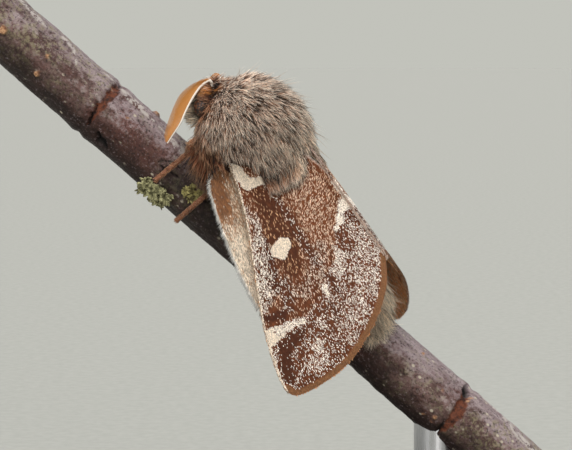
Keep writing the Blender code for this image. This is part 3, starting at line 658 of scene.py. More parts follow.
def wingPoint(shape, side, p, q, below=0.0):
    # a point of the wing that far below its outer face, and the way out of the wing there
    plan = planOf(shape)(p, q)
    x, out = plan[..., 0], plan[..., 1]
    out = out - roof["overlap"][int(side > 0)] * (1 - smoothStep(out / roof["overlapWay"]))
    dive = roof["dive"] * (1 - smoothStep(np.asarray(p) / roof["diveShare"]))
    return roofPoint(x, out, shape["drop"] + dive + below, side)


def veinRise(shape, p, q):
    # veins run from the hinge to the edge, and branches join them part of the way out
    height = np.zeros_like(p)
    for vein in shape["stems"] + shape["branches"]:
        starts = 0.45 if vein in shape["branches"] else 0.0
        ridge = np.exp(-((q - vein) / membrane["veinWidth"]) ** 2) * smoothStep((p - starts) * 8)
        height = np.maximum(height, ridge)
    return height * (1 - 0.6 * p)


# The line between the inner and the outer field of the forewing, laid flat: its x at each way out
postmedian = {
    "out": (0.3, 0.8, 1.2, 1.6, 2.0, 2.4, 2.7, 3.0, 3.5, 3.9, 4.3, 4.9, 5.2, 5.7, 6.3, 6.9, 7.5, 8.3, 9.0,
            10.2),
    "x": (-6.5, -6.9, -7.3, -7.75, -8.0, -8.45, -9.1, -9.6, -10.0, -10.1, -10.3, -10.95, -11.1, -11.4,
          -11.6, -11.9, -11.75, -11.5, -11.35, -11.2),
    "bandWidth": 0.62, "outerPale": 0.23, "innerPale": 0.15,
}
# The marks there: how soft the edge is, pale, dark, cream, and then (x, out, half width) stops.
# pale is the share of white scales, dark how dark the brown is, cream how warm the white is.
forewingMarks = (
    (0.7, 0.22, 0.12, -0.65, (-4.6, 2.1, 1.1), (-6.4, 2.4, 1.2), (-8.2, 3.3, 0.7)),
    (0.5, 0.22, 0.55, -0.4, (-8.6, 3.6, 0.5), (-10.0, 4.9, 0.6), (-10.4, 6.0, 0.6), (-9.9, 7.2, 0.4)),
    (0.4, 0.18, 0.7, 0.0, (-9.2, 6.9, 0.4), (-10.8, 7.6, 0.4)),
    (1.0, 0.32, 0.4, 0.0, (-10.4, 1.3, 0.4), (-12.1, 2.3, 0.6), (-13.3, 3.7, 0.6), (-14.4, 5.4, 0.4)),
    (0.4, 0.13, 0.75, 0.0, (-3.5, 4.1, 0.3), (-9.2, 4.4, 0.3)),
    (0.5, 0.07, 0.85, -1.0, (-3.4, 4.75, 0.5), (-5.2, 5.0, 0.7), (-7.2, 5.6, 1.05), (-8.7, 5.8, 0.5)),
    (0.3, 0.16, 0.9, 0.0, (-6.2, 6.4, 0.25), (-8.0, 7.0, 0.3), (-9.4, 7.7, 0.3)),
    (0.3, 0.42, 0.9, -0.2, (-4.4, 5.75, 0.1), (-6.2, 6.65, 0.2), (-8.0, 7.45, 0.25), (-9.7, 8.35, 0.3)),
    (0.35, 0.5, 0.7, 0.4, (-3.7, 6.0, 0.05), (-5.0, 6.3, 0.16), (-6.5, 7.1, 0.24), (-8.0, 7.9, 0.27),
     (-9.3, 8.6, 0.3), (-10.0, 9.0, 0.3)),
    (0.4, 0.1, 0.9, 0.0, (-3.2, 1.2, 0.3), (-3.5, 2.1, 0.2)),
    (0.25, 0.05, 1.0, 0.0, (-10.6, 9.3, 0.2), (-11.0, 8.3, 0.35)),
    # white line beyond the dark band, widest at the costa and at the hind edge
    (0.12, 1.0, 0.4, 1.0, (-11.85, 10.1, 0.62), (-11.85, 9.1, 0.42)),
    (0.15, 0.95, 0.4, 1.0, (-12.3, 10.25, 0.16), (-14.3, 10.8, 0.07)),
    (0.25, 0.85, 0.4, 0.3, (-11.8, 9.1, 0.3), (-11.85, 8.3, 0.25), (-12.1, 7.3, 0.2)),
    (0.25, 0.9, 0.4, 0.3, (-10.9, 4.9, 0.2), (-11.6, 5.0, 0.15)),
    (0.5, 0.5, 0.4, 0.1, (-10.35, 3.5, 0.4), (-9.9, 2.95, 0.3), (-9.0, 2.8, 0.12)),
    (0.3, 0.9, 0.4, 0.3, (-8.1, 2.0, 0.14), (-7.5, 1.2, 0.28), (-6.9, 0.6, 0.3), (-7.2, 0.1, 0.3)),
    (0.12, 1.0, 0.4, 0.5, (-7.4, 0.2, 0.22), (-5.4, 0.4, 0.08)),
    # dark blotches of the outer field
    (0.3, 0.08, 0.8, 0.0, (-7.75, 0.8, 0.3), (-8.5, 0.35, 0.32)),
    (0.3, 0.1, 0.6, 0.0, (-8.6, 1.99, 0.36), (-9.5, 1.95, 0.4)),
    (0.25, 0.1, 0.8, 0.0, (-10.4, 4.3, 0.2), (-11.7, 4.2, 0.22)),
    (0.25, 0.15, 0.75, 0.0, (-11.6, 5.2, 0.12), (-12.7, 5.25, 0.2)),
    (0.3, 0.35, 0.5, 0.0, (-12.6, 6.5, 0.2), (-13.4, 6.4, 0.15)),
    (0.8, 0.5, 0.25, 0.0, (-14.9, 8.2, 0.7), (-14.0, 7.4, 0.4)),
    (0.3, 0.06, 0.95, 0.0, (-12.5, 7.6, 0.2), (-12.75, 8.6, 0.45), (-12.9, 9.4, 0.4)),
    (0.3, 0.05, 1.0, 0.0, (-12.9, 9.3, 0.35), (-13.9, 9.9, 0.4), (-15.0, 10.35, 0.3)),
    # the two cream marks that name the moth
    (0.06, 1.0, 0.4, 1.0, (-7.08, 5.5, 0.5), (-7.3, 5.95, 0.58)),
    (0.08, 1.0, 0.4, 1.0, (-0.4, 4.95, 0.1), (-1.3, 5.05, 0.3), (-2.4, 5.05, 0.38), (-2.75, 4.2, 0.28)),
    (0.08, 1.0, 0.4, 1.0, (-2.35, 5.3, 0.2)),
)
hem = {"width": 0.4, "soft": 0.12, "costaWidth": 0.1, "costaSoft": 0.06}
underSpot = {"line": ((-12.9, 1.7, 0.15), (-13.6, 2.6, 0.15)), "soft": 0.4}


def planNoise(plan, scale, seed, squeeze=1):
    # soft noise on the flat wing, squeezed across it
    return softNoise(np.c_[plan * (1, squeeze), plan[:, 0] * 0], scale, seed)


def fromEdge(plan, shape, edge):
    # how far each point of the flat wing is from one of its edges
    line = splineThrough(shape[edge])(np.linspace(0, 1, 40))
    return distanceTo(plan, np.c_[line, np.zeros(40)])


def forewingMarksAt(plan):
    # (pale, dark, cream) at each point of the flat wing
    ragged = plan + 0.11 * np.stack([planNoise(plan, 0.3, s) for s in (1.0, 5.0)], 1)
    gap = plan[:, 0] - np.interp(ragged[:, 1], postmedian["out"], postmedian["x"])
    outer = smoothStep(0.5 - gap / 0.3)
    half = postmedian["bandWidth"] / 2
    band = smoothStep(1.4 - np.abs(gap - half) / half) * (1 - outer)
    pale = mix(postmedian["innerPale"], postmedian["outerPale"], outer)
    pale = pale * (1 - 0.22 * smoothStep((plan[:, 1] - 4.6) / 2.5))
    tones = np.stack([mix(pale, 0.07, band), mix(mix(0.45, 0.55, outer), 0.5, band), mix(-0.75, 0.0, outer)])
    for soft, pale, dark, cream, *line in forewingMarks:
        tones = mix(tones, np.c_[[pale, dark, cream]], smoothStep(0.5 - distanceTo(ragged, line) / soft))
    plain = smoothStep(0.5 + (hem["width"] - fromEdge(plan, forewing, "termen")) / hem["soft"])
    pale, dark, cream = mix(tones, np.c_[[0.0, -1.0, 0.0]], plain)
    rim = smoothStep(0.5 + (hem["costaWidth"] - fromEdge(plan, forewing, "costa")) / hem["costaSoft"])
    fine, coarse = planNoise(plan, 0.3, 7.0, 2), planNoise(plan, 0.7, 13.0)
    pale = pale * (1 + (0.5 * fine + 0.4 * coarse) * (pale < 0.8))
    dark = np.where(plain > 0.5, dark, np.maximum(dark + 0.5 * fine, 0))
    return np.stack([mix(pale, 0.75, rim), dark, mix(cream, 1.0, rim)], 1)


def hindwingMarksAt(plan):
    # brown velvet near the hinge that fades to cream further out
    lean = plan[:, 0] + 0.35 * planNoise(plan, 1.1, 3.0)
    inner = smoothStep((fromEdge(plan, hindwing, "costa") - 0.75) / 0.5)
    streaks = planNoise(plan, 0.5, 17.0, 4)
    pale = np.maximum(0.97 * smoothStep((-3.0 - lean) / 2.6), 0.5 * inner)
    pale = np.clip(pale + 0.3 * streaks, 0, 1)
    return np.stack([pale, np.maximum(0.7 - 0.6 * pale + 0.8 * streaks, 0), 1 - 0.5 * inner], 1)


def underMarksAt(plan):
    # the under faces are plain brown, with one dark patch near the tip
    spot = smoothStep(0.5 - distanceTo(plan, underSpot["line"]) / underSpot["soft"])
    fine = planNoise(plan, 0.4, 19.0, 3)
    pale = 0.35 + 0.12 * planNoise(plan, 1.6, 9.0) + 0.3 * fine - 0.3 * spot
    return np.stack([pale, 0.05 + 0.85 * spot + 0.4 * fine, np.ones(len(plan))], 1)


# brown, dark brown, pale scales and cream patches; the plain rim and tan flecks are shared
wingTones = {
    "forewing": ((128, 70, 37), (72, 34, 15), (246, 236, 224), (232, 216, 196)),
    "hindwing": ((166, 116, 78), (104, 64, 36), (206, 184, 156), (212, 196, 176)),
    # painted light: the under faces' tones are raised well above their own brown, so that the far wing's
    # shaded underside reads lit
    "under": ((255, 172, 106), (130, 66, 32), (255, 214, 164), (250, 210, 160)),
    "shared": ((130, 88, 56), (208, 160, 118)),
}


def wingMaterial(kind, variation, speckle):
    shine = {"Sheen Weight": 0.04, "Sheen Roughness": 0.35, "Specular IOR Level": 0.25}
    material, tree, shader = newMaterial(kind + "Scales", shine)
    labels = ("Brown", "Dark", "Fleck", "Cream", "Rim", "Tan")
    colours = {label: srgb(*tone) for label, tone in zip(labels, wingTones[kind] + wingTones["shared"])}
    made = useGroup(tree, scaleTone, {**colours, "Variation": variation, "Speckle": speckle})
    feed(tree, shader, colour=made["Color"], roughness=made["Roughness"])
    return material


wings = {
    "forewing": {"shape": forewing, "marks": forewingMarksAt,
                 "material": wingMaterial("forewing", 0.8, 1.0)},
    "hindwing": {"shape": hindwing, "marks": hindwingMarksAt,
                 "material": wingMaterial("hindwing", 1.2, 0.65)},
}
underMaterial = wingMaterial("under", 0.7, 0.6)


def makeMembrane(kind, side, hand):
    # a thin sheet with raised veins, closed round its rim
    wing = wings[kind]
    rows, columns = membrane["rows"], membrane["columns"]
    p, q = np.meshgrid(np.linspace(0, 1, rows), np.linspace(0, 1, columns), indexing="ij")
    p, q = p.ravel(), q.ravel()
    top, up = wingPoint(wing["shape"], side, p, q, membrane["depth"])
    rimThin = smoothStep(np.minimum.reduce([p, 1 - p, q, 1 - q]) / 0.01) * 0.8 + 0.2
    low = top - up * (membrane["thickness"] * rimThin)[:, None]
    top = top + up * (veinRise(wing["shape"], p, q) * membrane["vein"])[:, None]
    index = np.arange(rows * columns).reshape(rows, columns)
    quads = np.stack([index[:-1, :-1], index[1:, :-1], index[1:, 1:], index[:-1, 1:]], -1).reshape(-1, 4)
    edge = np.r_[index[0, :-1], index[:-1, -1], index[-1, :0:-1], index[:0:-1, 0]]
    ahead = np.roll(edge, -1)
    rim = np.stack([edge, ahead, ahead + rows * columns, edge + rows * columns], 1)
    faces = np.r_[quads, quads[:, ::-1] + rows * columns, rim]
    plan = planOf(wing["shape"])(p, q)
    spots = wingSpots(plan)
    chance = np.random.default_rng(11)
    skin = meshFrom(
        kind + hand, np.r_[top, low], faces[:, ::-1] if side > 0 else faces, {"flat": np.r_[spots, spots]},
        {"chance": chance.random(2 * len(p)), "tone": chance.random(2 * len(p)),
         "marks": np.r_[wing["marks"](plan), underMarksAt(plan)]},
    )
    dress(skin, wing["material"], kind, f"{kind}_{hand.lower()}")


def wingSpots(plan, lower=False):
    # the wing laid flat in the map, its under face in the other half
    return inMap(np.c_[(plan[:, 0] + 17.5) / 20, plan[:, 1] / 24 + (0.5 if lower else 0.0)])


def rowsOnWing(shape, side, rowGap, sideGap, below):
    # scales grow in rows across the wing, each row over the foot of the next one out
    chance = np.random.default_rng(20)
    plan = planOf(shape)
    rows = int(np.linalg.norm(plan(1, 0.5) - plan(0, 0.5)) / rowGap)
    fine = np.linspace(0, 1, 60)
    shares = []
    for k in range(rows):
        p = (k + 0.5) / rows
        way = np.r_[0, np.cumsum(np.linalg.norm(np.diff(plan(np.full(60, p), fine), axis=0), axis=1))]
        count = max(int(way[-1] / sideGap), 2)
        at = (np.arange(count) + 0.5 * (k % 2) + 0.25 * chance.normal(0, 1, count)) * sideGap
        q = np.interp(np.clip(at, 0, way[-1]), way, fine)
        shares.append(np.stack([p + chance.normal(0, 0.3, count) / rows, q], 1))
    p, q = np.clip(np.concatenate(shares), 0, 0.999).T
    at, up = wingPoint(shape, side, p, q, below)
    ahead, _ = wingPoint(shape, side, p + 1e-3, q, below)
    return plan(p, q), at, up, unit(ahead - at)


# gaps are from row to row and from scale to scale
scaleLook = {
    "upper": {"gaps": (0.06, 0.031), "length": 0.16, "width": 0.042, "scatter": 12, "paleLift": 0.018,
              "layers": 1.8},
    "far": {"gaps": (0.1, 0.052), "length": 0.24, "width": 0.075, "scatter": 14, "paleLift": 0.018,
            "layers": 1.7},
    "hind": {"gaps": (0.11, 0.05), "length": 0.36, "width": 0.06, "scatter": 9, "tipRise": 0.015,
             "arch": 0.006},
    "under": {"gaps": (0.16, 0.1), "length": 0.42, "width": 0.14, "scatter": 8, "tipRise": 0.02,
              "arch": 0.008},
    "below": 0.07, "hindShowsFrom": 4.4,
}


def flowOf(plan, forward, up, side):
    # over the inner hind part of the forewing the scales lie towards the ridge
    share = 0.75 * smoothStep((4.6 - plan[:, 1]) / 2.2) * smoothStep((plan[:, 0] + 9.5) / 3.0)
    toRidge = unit(np.cross(up, forward)) * -side
    return unit(forward * (1 - 0.55 * share)[:, None] + toRidge * share[:, None])


def coverWing(kind, face, side, hand, look, parts=1):
    # lays the scales of one face of a wing
    wing = wings[kind]
    lower = face == "Under"
    below = membrane["depth"] + membrane["thickness"] + 0.03 if lower else scaleLook["below"]
    plan, at, up, forward = rowsOnWing(wing["shape"], side, *look["gaps"], below)
    if kind == "hindwing" and not lower:
        shown = plan[:, 1] > scaleLook["hindShowsFrom"]
        plan, at, up, forward = plan[shown], at[shown], up[shown], forward[shown]
    if kind == "forewing" and not lower:
        forward = flowOf(plan, forward, up, side)
    up = -up if lower else up
    spots, marks = wingSpots(plan, lower), (underMarksAt if lower else wing["marks"])(plan)
    for k in range(parts):
        part = slice(k, None, parts)
        name = kind + face + hand + ("AB"[k] if parts > 1 else "")
        scales = layScales(name, at[part], up[part], forward[part], look, spots[part], marks[part], 21 + k)
        dress(scales, underMaterial if lower else wing["material"], kind, f"{kind}_{hand.lower()}")


fringes = (
    {"name": "hindCosta", "wing": "hindwing", "edge": "costa", "count": 1500, "from": 0.06, "length": 0.46,
     "width": 0.026, "lean": 1.3, "root": (246, 238, 226), "tip": (255, 255, 255)},
    {"name": "hindTermen", "wing": "hindwing", "edge": "termen", "count": 900, "from": 0.0, "length": 0.5,
     "width": 0.035, "lean": 0.06, "root": (196, 172, 142), "tip": (236, 226, 210)},
    {"name": "foreTermen", "wing": "forewing", "edge": "termen", "count": 2200, "from": 0.0, "length": 0.22,
     "width": 0.04, "lean": 0.045, "root": (118, 80, 50), "tip": (160, 122, 88)},
    {"name": "foreDorsum", "wing": "forewing", "edge": "dorsum", "count": 1800, "from": 0.1, "length": 0.32,
     "width": 0.03, "lean": 1.1, "root": (196, 152, 126), "tip": (250, 236, 224)},
    {"name": "foreCosta", "wing": "forewing", "edge": "costa", "count": 1400, "from": 0.12, "length": 0.2,
     "width": 0.035, "lean": 1.6, "root": (176, 138, 100), "tip": (226, 208, 182)},
)
fringe = {"lift": 4, "tipLift": -3, "stray": 0.16, "clump": 3, "clumpSize": 0.03, "pull": 0.4, "wave": 0.02,
          "rings": 2, "sink": 0.0, "inset": 0.012, "step": 0.004}


def noShades(place):
    return np.zeros_like(place)


def makeFringe(kind, side, hand):
    # the fine hairs round a wing's edge
    shape = wings[kind["wing"]]["shape"]
    chance = np.random.default_rng(61)
    along = mix(kind["from"], 1, chance.random(kind["count"]))
    inner, outer, step = along * 0 + fringe["inset"], along * 0 + (1 - fringe["inset"]), fringe["step"]
    # where the hairs stand, and the steps from there over the edge and along it
    p, q, over, onward = {
        "costa": (along, inner, (0, -step), (step, 0)), "dorsum": (along, outer, (0, step), (step, 0)),
        "termen": (outer, along, (step, 0), (0, step)),
    }[kind["edge"]]
    below = 0.06 + 0.2 * chance.random(kind["count"])
    at, up = wingPoint(shape, side, p, q, below)
    beyond, _ = wingPoint(shape, side, p + over[0], q + over[1], below)
    ahead, _ = wingPoint(shape, side, np.minimum(p + onward[0], 1), np.minimum(q + onward[1], 1), below)
    lie = unit(unit(beyond - at) + unit(ahead - at) * kind["lean"])
    name = "fringe" + kind["name"]
    material = bpy.data.materials.get(name)
    if material is None:
        between = tuple((a + b) / 2 for a, b in zip(kind["root"], kind["tip"]))
        material = hairMaterial(name, kind["root"], between, kind["tip"], 0.1, 0.0)
    spots = wingSpots(planOf(shape)(p, q), True)
    coat = growHairs(name + hand, at, up, lie, {**fringe, **kind}, lambda place: spots, noShades, 62)
    dress(coat, material, kind["wing"], f"{kind['wing']}_{hand.lower()}")


def makeWings():
    for side, hand in sides:
        for kind in wings:
            makeMembrane(kind, side, hand)
        near = side > 0
        coverWing("forewing", "Scales", side, hand, scaleLook["upper" if near else "far"], 2 if near else 1)
        coverWing("hindwing", "Scales", side, hand, scaleLook["hind"])
        for kind in wings:
            coverWing(kind, "Under", side, hand, scaleLook["under"])
        for kind in fringes:
            makeFringe(kind, side, hand)


makeWings()
print("wings covered with scales")


# Body: a skin inside the coat, then the coat itself

inMoth = mothMatrix @ Matrix.Scale(mm, 4)
inTwig = twigMatrix @ Matrix.Scale(mm, 4)

thorax = {"centre": (0, 0, -0.3), "radii": (3.7, 3.3, 3.3)}
head = {"centre": (3.3, 0, -1.3), "radii": (1.4, 1.5, 1.5)}
belly = {"from": (-3, 0, -0.5), "to": (-14.6, 0.3, 0.1), "radius": 2.1, "taper": 0.16, "blunt": 0.72}
body = {"shrink": 0.12, "voxel": 0.15, "bellyBalls": 24}


def bellyRadius(s):
    end = np.maximum(0, (s - belly["blunt"]) / (1 - belly["blunt"])) ** 2.4
    return belly["radius"] * (1 - belly["taper"] * s) * np.sqrt(1 - end)


def bellyMiddle(s):
    return mix(np.array(belly["from"], float), np.array(belly["to"], float), np.asarray(s, float)[..., None])


def furShades(place):
    # how brown, how cream and how orange the coat is at a place on the body
    x, y, z = place.T
    sideY = np.abs(y)
    chest = smoothStep((0.1 - z) / 1.4) * smoothStep((x + 4.5) / 2)
    chest = chest * smoothStep((sideY - 1.0) / 1.5 - (z + 1.5))
    cloud = softNoise(place, 1.6, 4.0)
    # darker brown hair round the eye, partly painted shade of the hollow that the eye sits in
    eyeBrownAndShade = smoothStep((1.3 - awayFrom(folded(place), (3.5, 1.3, -1.1))) / 0.5)
    edge = smoothStep((-1.2 - x) / 1.2) * smoothStep((sideY - 0.8) / 0.8) * smoothStep((x + 5) / 0.6)
    # browner and darker towards the bottom: partly the coat's own browner tone, partly painted shade under
    # the body
    low = smoothStep((1.8 - z) / 2.6)
    brown = np.clip(0.08 + 0.16 * low + 0.8 * chest + 0.22 * cloud + 0.3 * edge, 0, 1)
    face = smoothStep((x - 2.2) / 0.6) * smoothStep((-1.75 - z) / 0.5)
    face = np.maximum(face, smoothStep((x - 4.0) / 0.3) * smoothStep((-0.7 - z) / 0.4))
    brown = np.maximum(brown, eyeBrownAndShade) * (1 - face)
    rear = smoothStep((0.3 - x) / 1.8) * smoothStep((z - 1.0) / 1.2) * smoothStep((2.1 - sideY) / 1.4)
    tail = smoothStep((-4.0 - x) / 2.0)
    cream = np.clip(face + (0.3 + 0.3 * cloud) * rear * (1 - edge) + 0.3 * tail, 0, 1)
    feelerRoot = smoothStep((0.55 - awayFrom(folded(place), (4.2, 1.0, -0.7))) / 0.25)
    return np.stack([brown, cream, feelerRoot], 1)


furMaterial = hairMaterial("fur", (28, 14, 8), (164, 117, 86), (255, 242, 226), 0.4, 0.18, 1.8)
strayMaterial = hairMaterial("furStray", (120, 92, 72), (190, 164, 140), (250, 240, 226), 0.12, 0.1)
tailMaterial = hairMaterial("bellyFur", (40, 24, 14), (180, 146, 112), (255, 240, 216), 0.34, 0.16, 1.3)


def makeBody():
    # one skin a little inside the solids' cores, which the coat hides
    balls = []
    shapes = [(thorax["centre"], thorax["radii"]), (head["centre"], head["radii"])]
    for k in range(body["bellyBalls"]):
        s = k / (body["bellyBalls"] - 0.4)
        shapes.append((tuple(bellyMiddle(s)), (float(bellyRadius(s)),) * 3))
    for centre, radii in shapes:
        bpy.ops.mesh.primitive_uv_sphere_add(segments=48, ring_count=28, radius=1, location=centre)
        ball = bpy.context.object
        ball.scale = [r - body["shrink"] for r in radii]
        balls.append(ball)
    skin = joinAll(balls, "bodySkin")
    settle(skin)
    addModifier(skin, "REMESH", mode="VOXEL", voxel_size=body["voxel"])
    addModifier(skin, "SMOOTH", factor=0.8, iterations=6)
    place = pointsOf(skin.data)
    chance = np.random.default_rng(4)
    setAttribute(skin.data, "along", np.full(len(place), 0.22))
    setAttribute(skin.data, "chance", chance.random(len(place)))
    setAttribute(skin.data, "place", place)
    setAttribute(skin.data, "shades", furShades(place))
    settle(skin, inMoth, 180)
    dress(skin, furMaterial, "fur", "head", "thorax", "abdomen")


def roofUnder(points, clear, tucked=None):
    # lifts points that would be inside a wing's root to just above the wing, and keeps tucked ones under it
    side = np.where(points[:, 1] >= 0, 1.0, -1.0)
    away = np.abs(points[:, 1])
    out = away.copy()
    for _ in range(5):
        at, up = roofPoint(points[:, 0], np.maximum(out, 0), 0.0, 1.0)
        out = out + (away - at[:, 1]) / np.maximum(up[:, 2], 0.3)
    at, up = roofPoint(points[:, 0], np.maximum(out, 0), 0.0, 1.0)
    depth = ((folded(points) - at) * up).sum(1)
    costa, dorsum = (splineThrough(forewing[edge])(np.linspace(0, 1, 80)) for edge in ("costa", "dorsum"))
    low = np.interp(-points[:, 0], -dorsum[:, 0], dorsum[:, 1])
    high = np.interp(-points[:, 0], -costa[:, 0], costa[:, 1])
    inside = np.minimum(out - low, high - out)
    share = smoothStep(0.5 + inside / 0.8) * smoothStep((0.9 - points[:, 0]) / 0.8)
    dive = roof["dive"] * (1 - smoothStep((1.0 - points[:, 0]) / 2.4))
    push = np.maximum(clear - dive - depth, 0) * share * smoothStep((depth + 1.1) / 0.3)
    if tucked is not None:
        push = np.where(tucked, np.minimum(-0.45 - dive - depth, 0) * share, push)
    moved = folded(points) + up * push[:, None]
    return np.stack([moved[:, 0], moved[:, 1] * side, moved[:, 2]], 1), out, depth


furLook = {
    "under": {"length": 1.1, "width": 0.07, "lift": 52, "tipLift": 18, "stray": 0.3, "clumpSize": 0.16,
              "pull": 0.4, "rings": 2, "loose": 0.5},
    "top": {"length": 1.6, "width": 0.055, "lift": 43, "tipLift": 5, "stray": 0.2, "clump": 3,
            "clumpSize": 0.08, "loose": 0.15},
    "stray": {"length": 2.1, "width": 0.03, "lift": 56, "tipLift": 30, "stray": 0.5, "clump": 1,
              "clumpSize": 0.02, "pull": 0.0, "wave": 0.12},
    "skirt": {"length": 2.6, "width": 0.06, "lift": 36, "tipLift": 18, "stray": 0.3, "clumpSize": 0.12,
              "pull": 0.7, "wave": 0.06, "loose": 0.3},
    "head": {"length": 1.0, "width": 0.05, "lift": 46, "tipLift": 10, "stray": 0.3, "clumpSize": 0.1,
             "pull": 0.8, "wave": 0.04, "loose": 0.4},
    "tail": {"length": 2.15, "width": 0.05, "lift": 34, "tipLift": 6, "stray": 0.34, "clump": 7,
             "clumpSize": 0.2, "wave": 0.06, "loose": 0.3},
    "flowFrom": (4.4, 0.0, -1.4), "clear": 0.16,
    # how far back the coat's roots reach over the wings, from the ridge outwards
    "reachOut": (0, 1.3, 2.2, 3.0, 3.8, 4.5, 5.2, 5.6),
    "reachBack": (-3.2, -2.9, -3.0, -2.8, -1.9, -0.8, 0.5, -1.4),
}
eye = {"centre": (3.45, 1.2, -1.5), "radius": 0.7, "facets": 5200, "tones": ((34, 18, 10), (112, 66, 36))}


def ballRoots(shape, count, seed):
    chance = np.random.default_rng(seed)
    way = unit(chance.normal(0, 1, (count, 3)))
    radii = np.array(shape["radii"], float)
    return way * radii + np.array(shape["centre"], float), unit(way / radii)


def layOn(ups, wish):
    return unit(wish - (wish * ups).sum(1, keepdims=True) * ups)


def aslant(y, forward, outward, up):
    # one way for all roots, but for leaning out to their own side
    return np.c_[np.full(len(y), float(forward)), outward * np.sign(y), np.full(len(y), float(up))]


def bodySpots(place):
    # the body unrolled in the map: round it one way, along it the other
    turn = np.arctan2(place[:, 1], place[:, 2] + 0.5) / (2 * math.pi) + 0.5
    return inMap(np.stack([turn, (place[:, 0] + 15.5) / 21.5], 1))


def growCoat(name, node, roots, ups, lies, look, seed, material=furMaterial, slot="fur", **more):
    coat = growHairs(name, roots, ups, lies, look, bodySpots, furShades, seed, **more)
    dress(coat, material, slot, node)


def thoraxCoat(kind, count, seed, name):
    roots, ups = ballRoots(thorax, count, seed)
    lifted, out, depth = roofUnder(roots, furLook["clear"])
    x, y, z = roots.T
    kept = (x > np.interp(out, furLook["reachOut"], furLook["reachBack"])) & (x > -3.2)
    kept &= awayFrom(roots, head["centre"], head["radii"]) >= 1.0
    # none grows straight under the wing blades
    kept &= ~((depth < -0.8) & (depth > -2.3) & (x < 0.1) & (np.abs(y) > 2.3))
    roots, lifted, ups, tucked = roots[kept], lifted[kept], ups[kept], depth[kept] < -0.95
    x, y, z = roots.T
    fromNose = unit(roots - np.array(furLook["flowFrom"]))
    lies = layOn(ups, fromNose * 0.9 + np.c_[x * 0 - 0.6, 0.1 * np.sign(y), -0.1 * np.abs(y)])
    chest = smoothStep((-1.7 - z) / 1.3)
    rear = smoothStep((-0.8 - x) / 1.3) * smoothStep((z - 1.0) / 1.2)
    front = smoothStep((x - 1.6) / 1.6)
    frontLow = front * smoothStep((0.4 - z) / 1.0)
    low = smoothStep((1.9 - x) / 0.8) * smoothStep((0.4 - z) / 0.8) * ~tucked
    look = dict(furLook[kind])
    shorter = (1 - 0.3 * chest) * (1 - 0.35 * frontLow) * (1 - 0.4 * low)
    look["length"] = look["length"] * shorter * (1 + 0.3 * rear)
    look["lift"] = look["lift"] * (1 - 0.15 * front) * (1 - 0.5 * low)

    def drape(path, lead):
        under = np.repeat(tucked[lead], path.shape[1])
        return roofUnder(path.reshape(-1, 3), furLook["clear"], under)[0].reshape(path.shape)

    material = strayMaterial if kind == "stray" else furMaterial
    growCoat(name, "thorax", lifted, ups, lies, look, seed, material, place=roots, drape=drape)


def skirtCoat(count, seed):
    # the long brown fur that hangs from the chest between the wings and the twig
    roots, ups = ballRoots(thorax, count, seed)
    x, y, z = roots.T
    kept = (x < 1.6) & (x > -3.0) & (z < -1.6) & (z > -3.3) & (np.abs(y) > 0.9)
    roots, ups = roots[kept], ups[kept]
    lies = layOn(ups, aslant(roots[:, 1], -0.6, 0.25, -1))
    growCoat("thoraxSkirt", "thorax", roots, ups, lies, furLook["skirt"], seed)


def headCoat(count, seed):
    roots, ups = ballRoots(head, count, seed)
    fromEye = awayFrom(folded(roots), eye["centre"])
    kept = (awayFrom(roots, thorax["centre"], thorax["radii"]) >= 0.97) & (fromEye > eye["radius"] * 1.02)
    roots, ups, fromEye = roots[kept], ups[kept], fromEye[kept]
    x, y, z = roots.T
    face = smoothStep((x - 2.2) / 0.6) * smoothStep((-1.6 - z) / 0.5)
    crown = smoothStep((z + 0.7) / 0.5)
    brow = smoothStep((1.3 - fromEye) / 0.3) * smoothStep((z + 1.4) / 0.4)
    lies = mix(aslant(y, 0.5, 0.2, -0.9), aslant(y, 0.45, 0.25, -1), face[:, None])
    lies = layOn(ups, mix(lies, aslant(y, -0.1, 0.1, 0.7), crown[:, None]))
    look = dict(furLook["head"])
    look["length"] = look["length"] * (0.6 + 0.4 * crown + 0.1 * brow + 0.55 * face)
    look["lift"] = look["lift"] + 24 * face + 18 * crown
    look["tipLift"] = look["tipLift"] + 30 * face + 10 * crown
    growCoat("headFur", "head", roots, ups, lies, look, seed)


def tailCoat(count, seed):
    chance = np.random.default_rng(seed)
    s = chance.random(count) ** 0.8
    turn = chance.random(count) * 2 * math.pi
    ring = np.stack([0 * turn, np.sin(turn), np.cos(turn)], 1)
    slope = (bellyRadius(np.minimum(s + 0.01, 0.99)) - bellyRadius(np.minimum(s, 0.98))) / 0.116
    ups = unit(ring + np.c_[slope, 0 * turn, 0 * turn])
    roots = bellyMiddle(s) + ring * bellyRadius(np.minimum(s, 0.985))[:, None]
    lies = layOn(ups, np.tile((-1.0, 0, 0.0), (count, 1)))
    look = dict(furLook["tail"])
    look["length"] = look["length"] * (0.75 + 0.4 * smoothStep((s - 0.55) / 0.4))
    growCoat("tailFur", "abdomen", roots, ups, lies, look, seed, tailMaterial, "belly_fur")


makeBody()
print("body skin made")
thoraxCoat("under", 13000, 51, "thoraxUnderfur")
thoraxCoat("top", 17000, 52, "thoraxFurA")
thoraxCoat("top", 17000, 56, "thoraxFurB")
thoraxCoat("stray", 600, 53, "thoraxStrays")
skirtCoat(17000, 57)
headCoat(6500, 54)
tailCoat(9500, 55)
print("body coat grown")


# Eyes

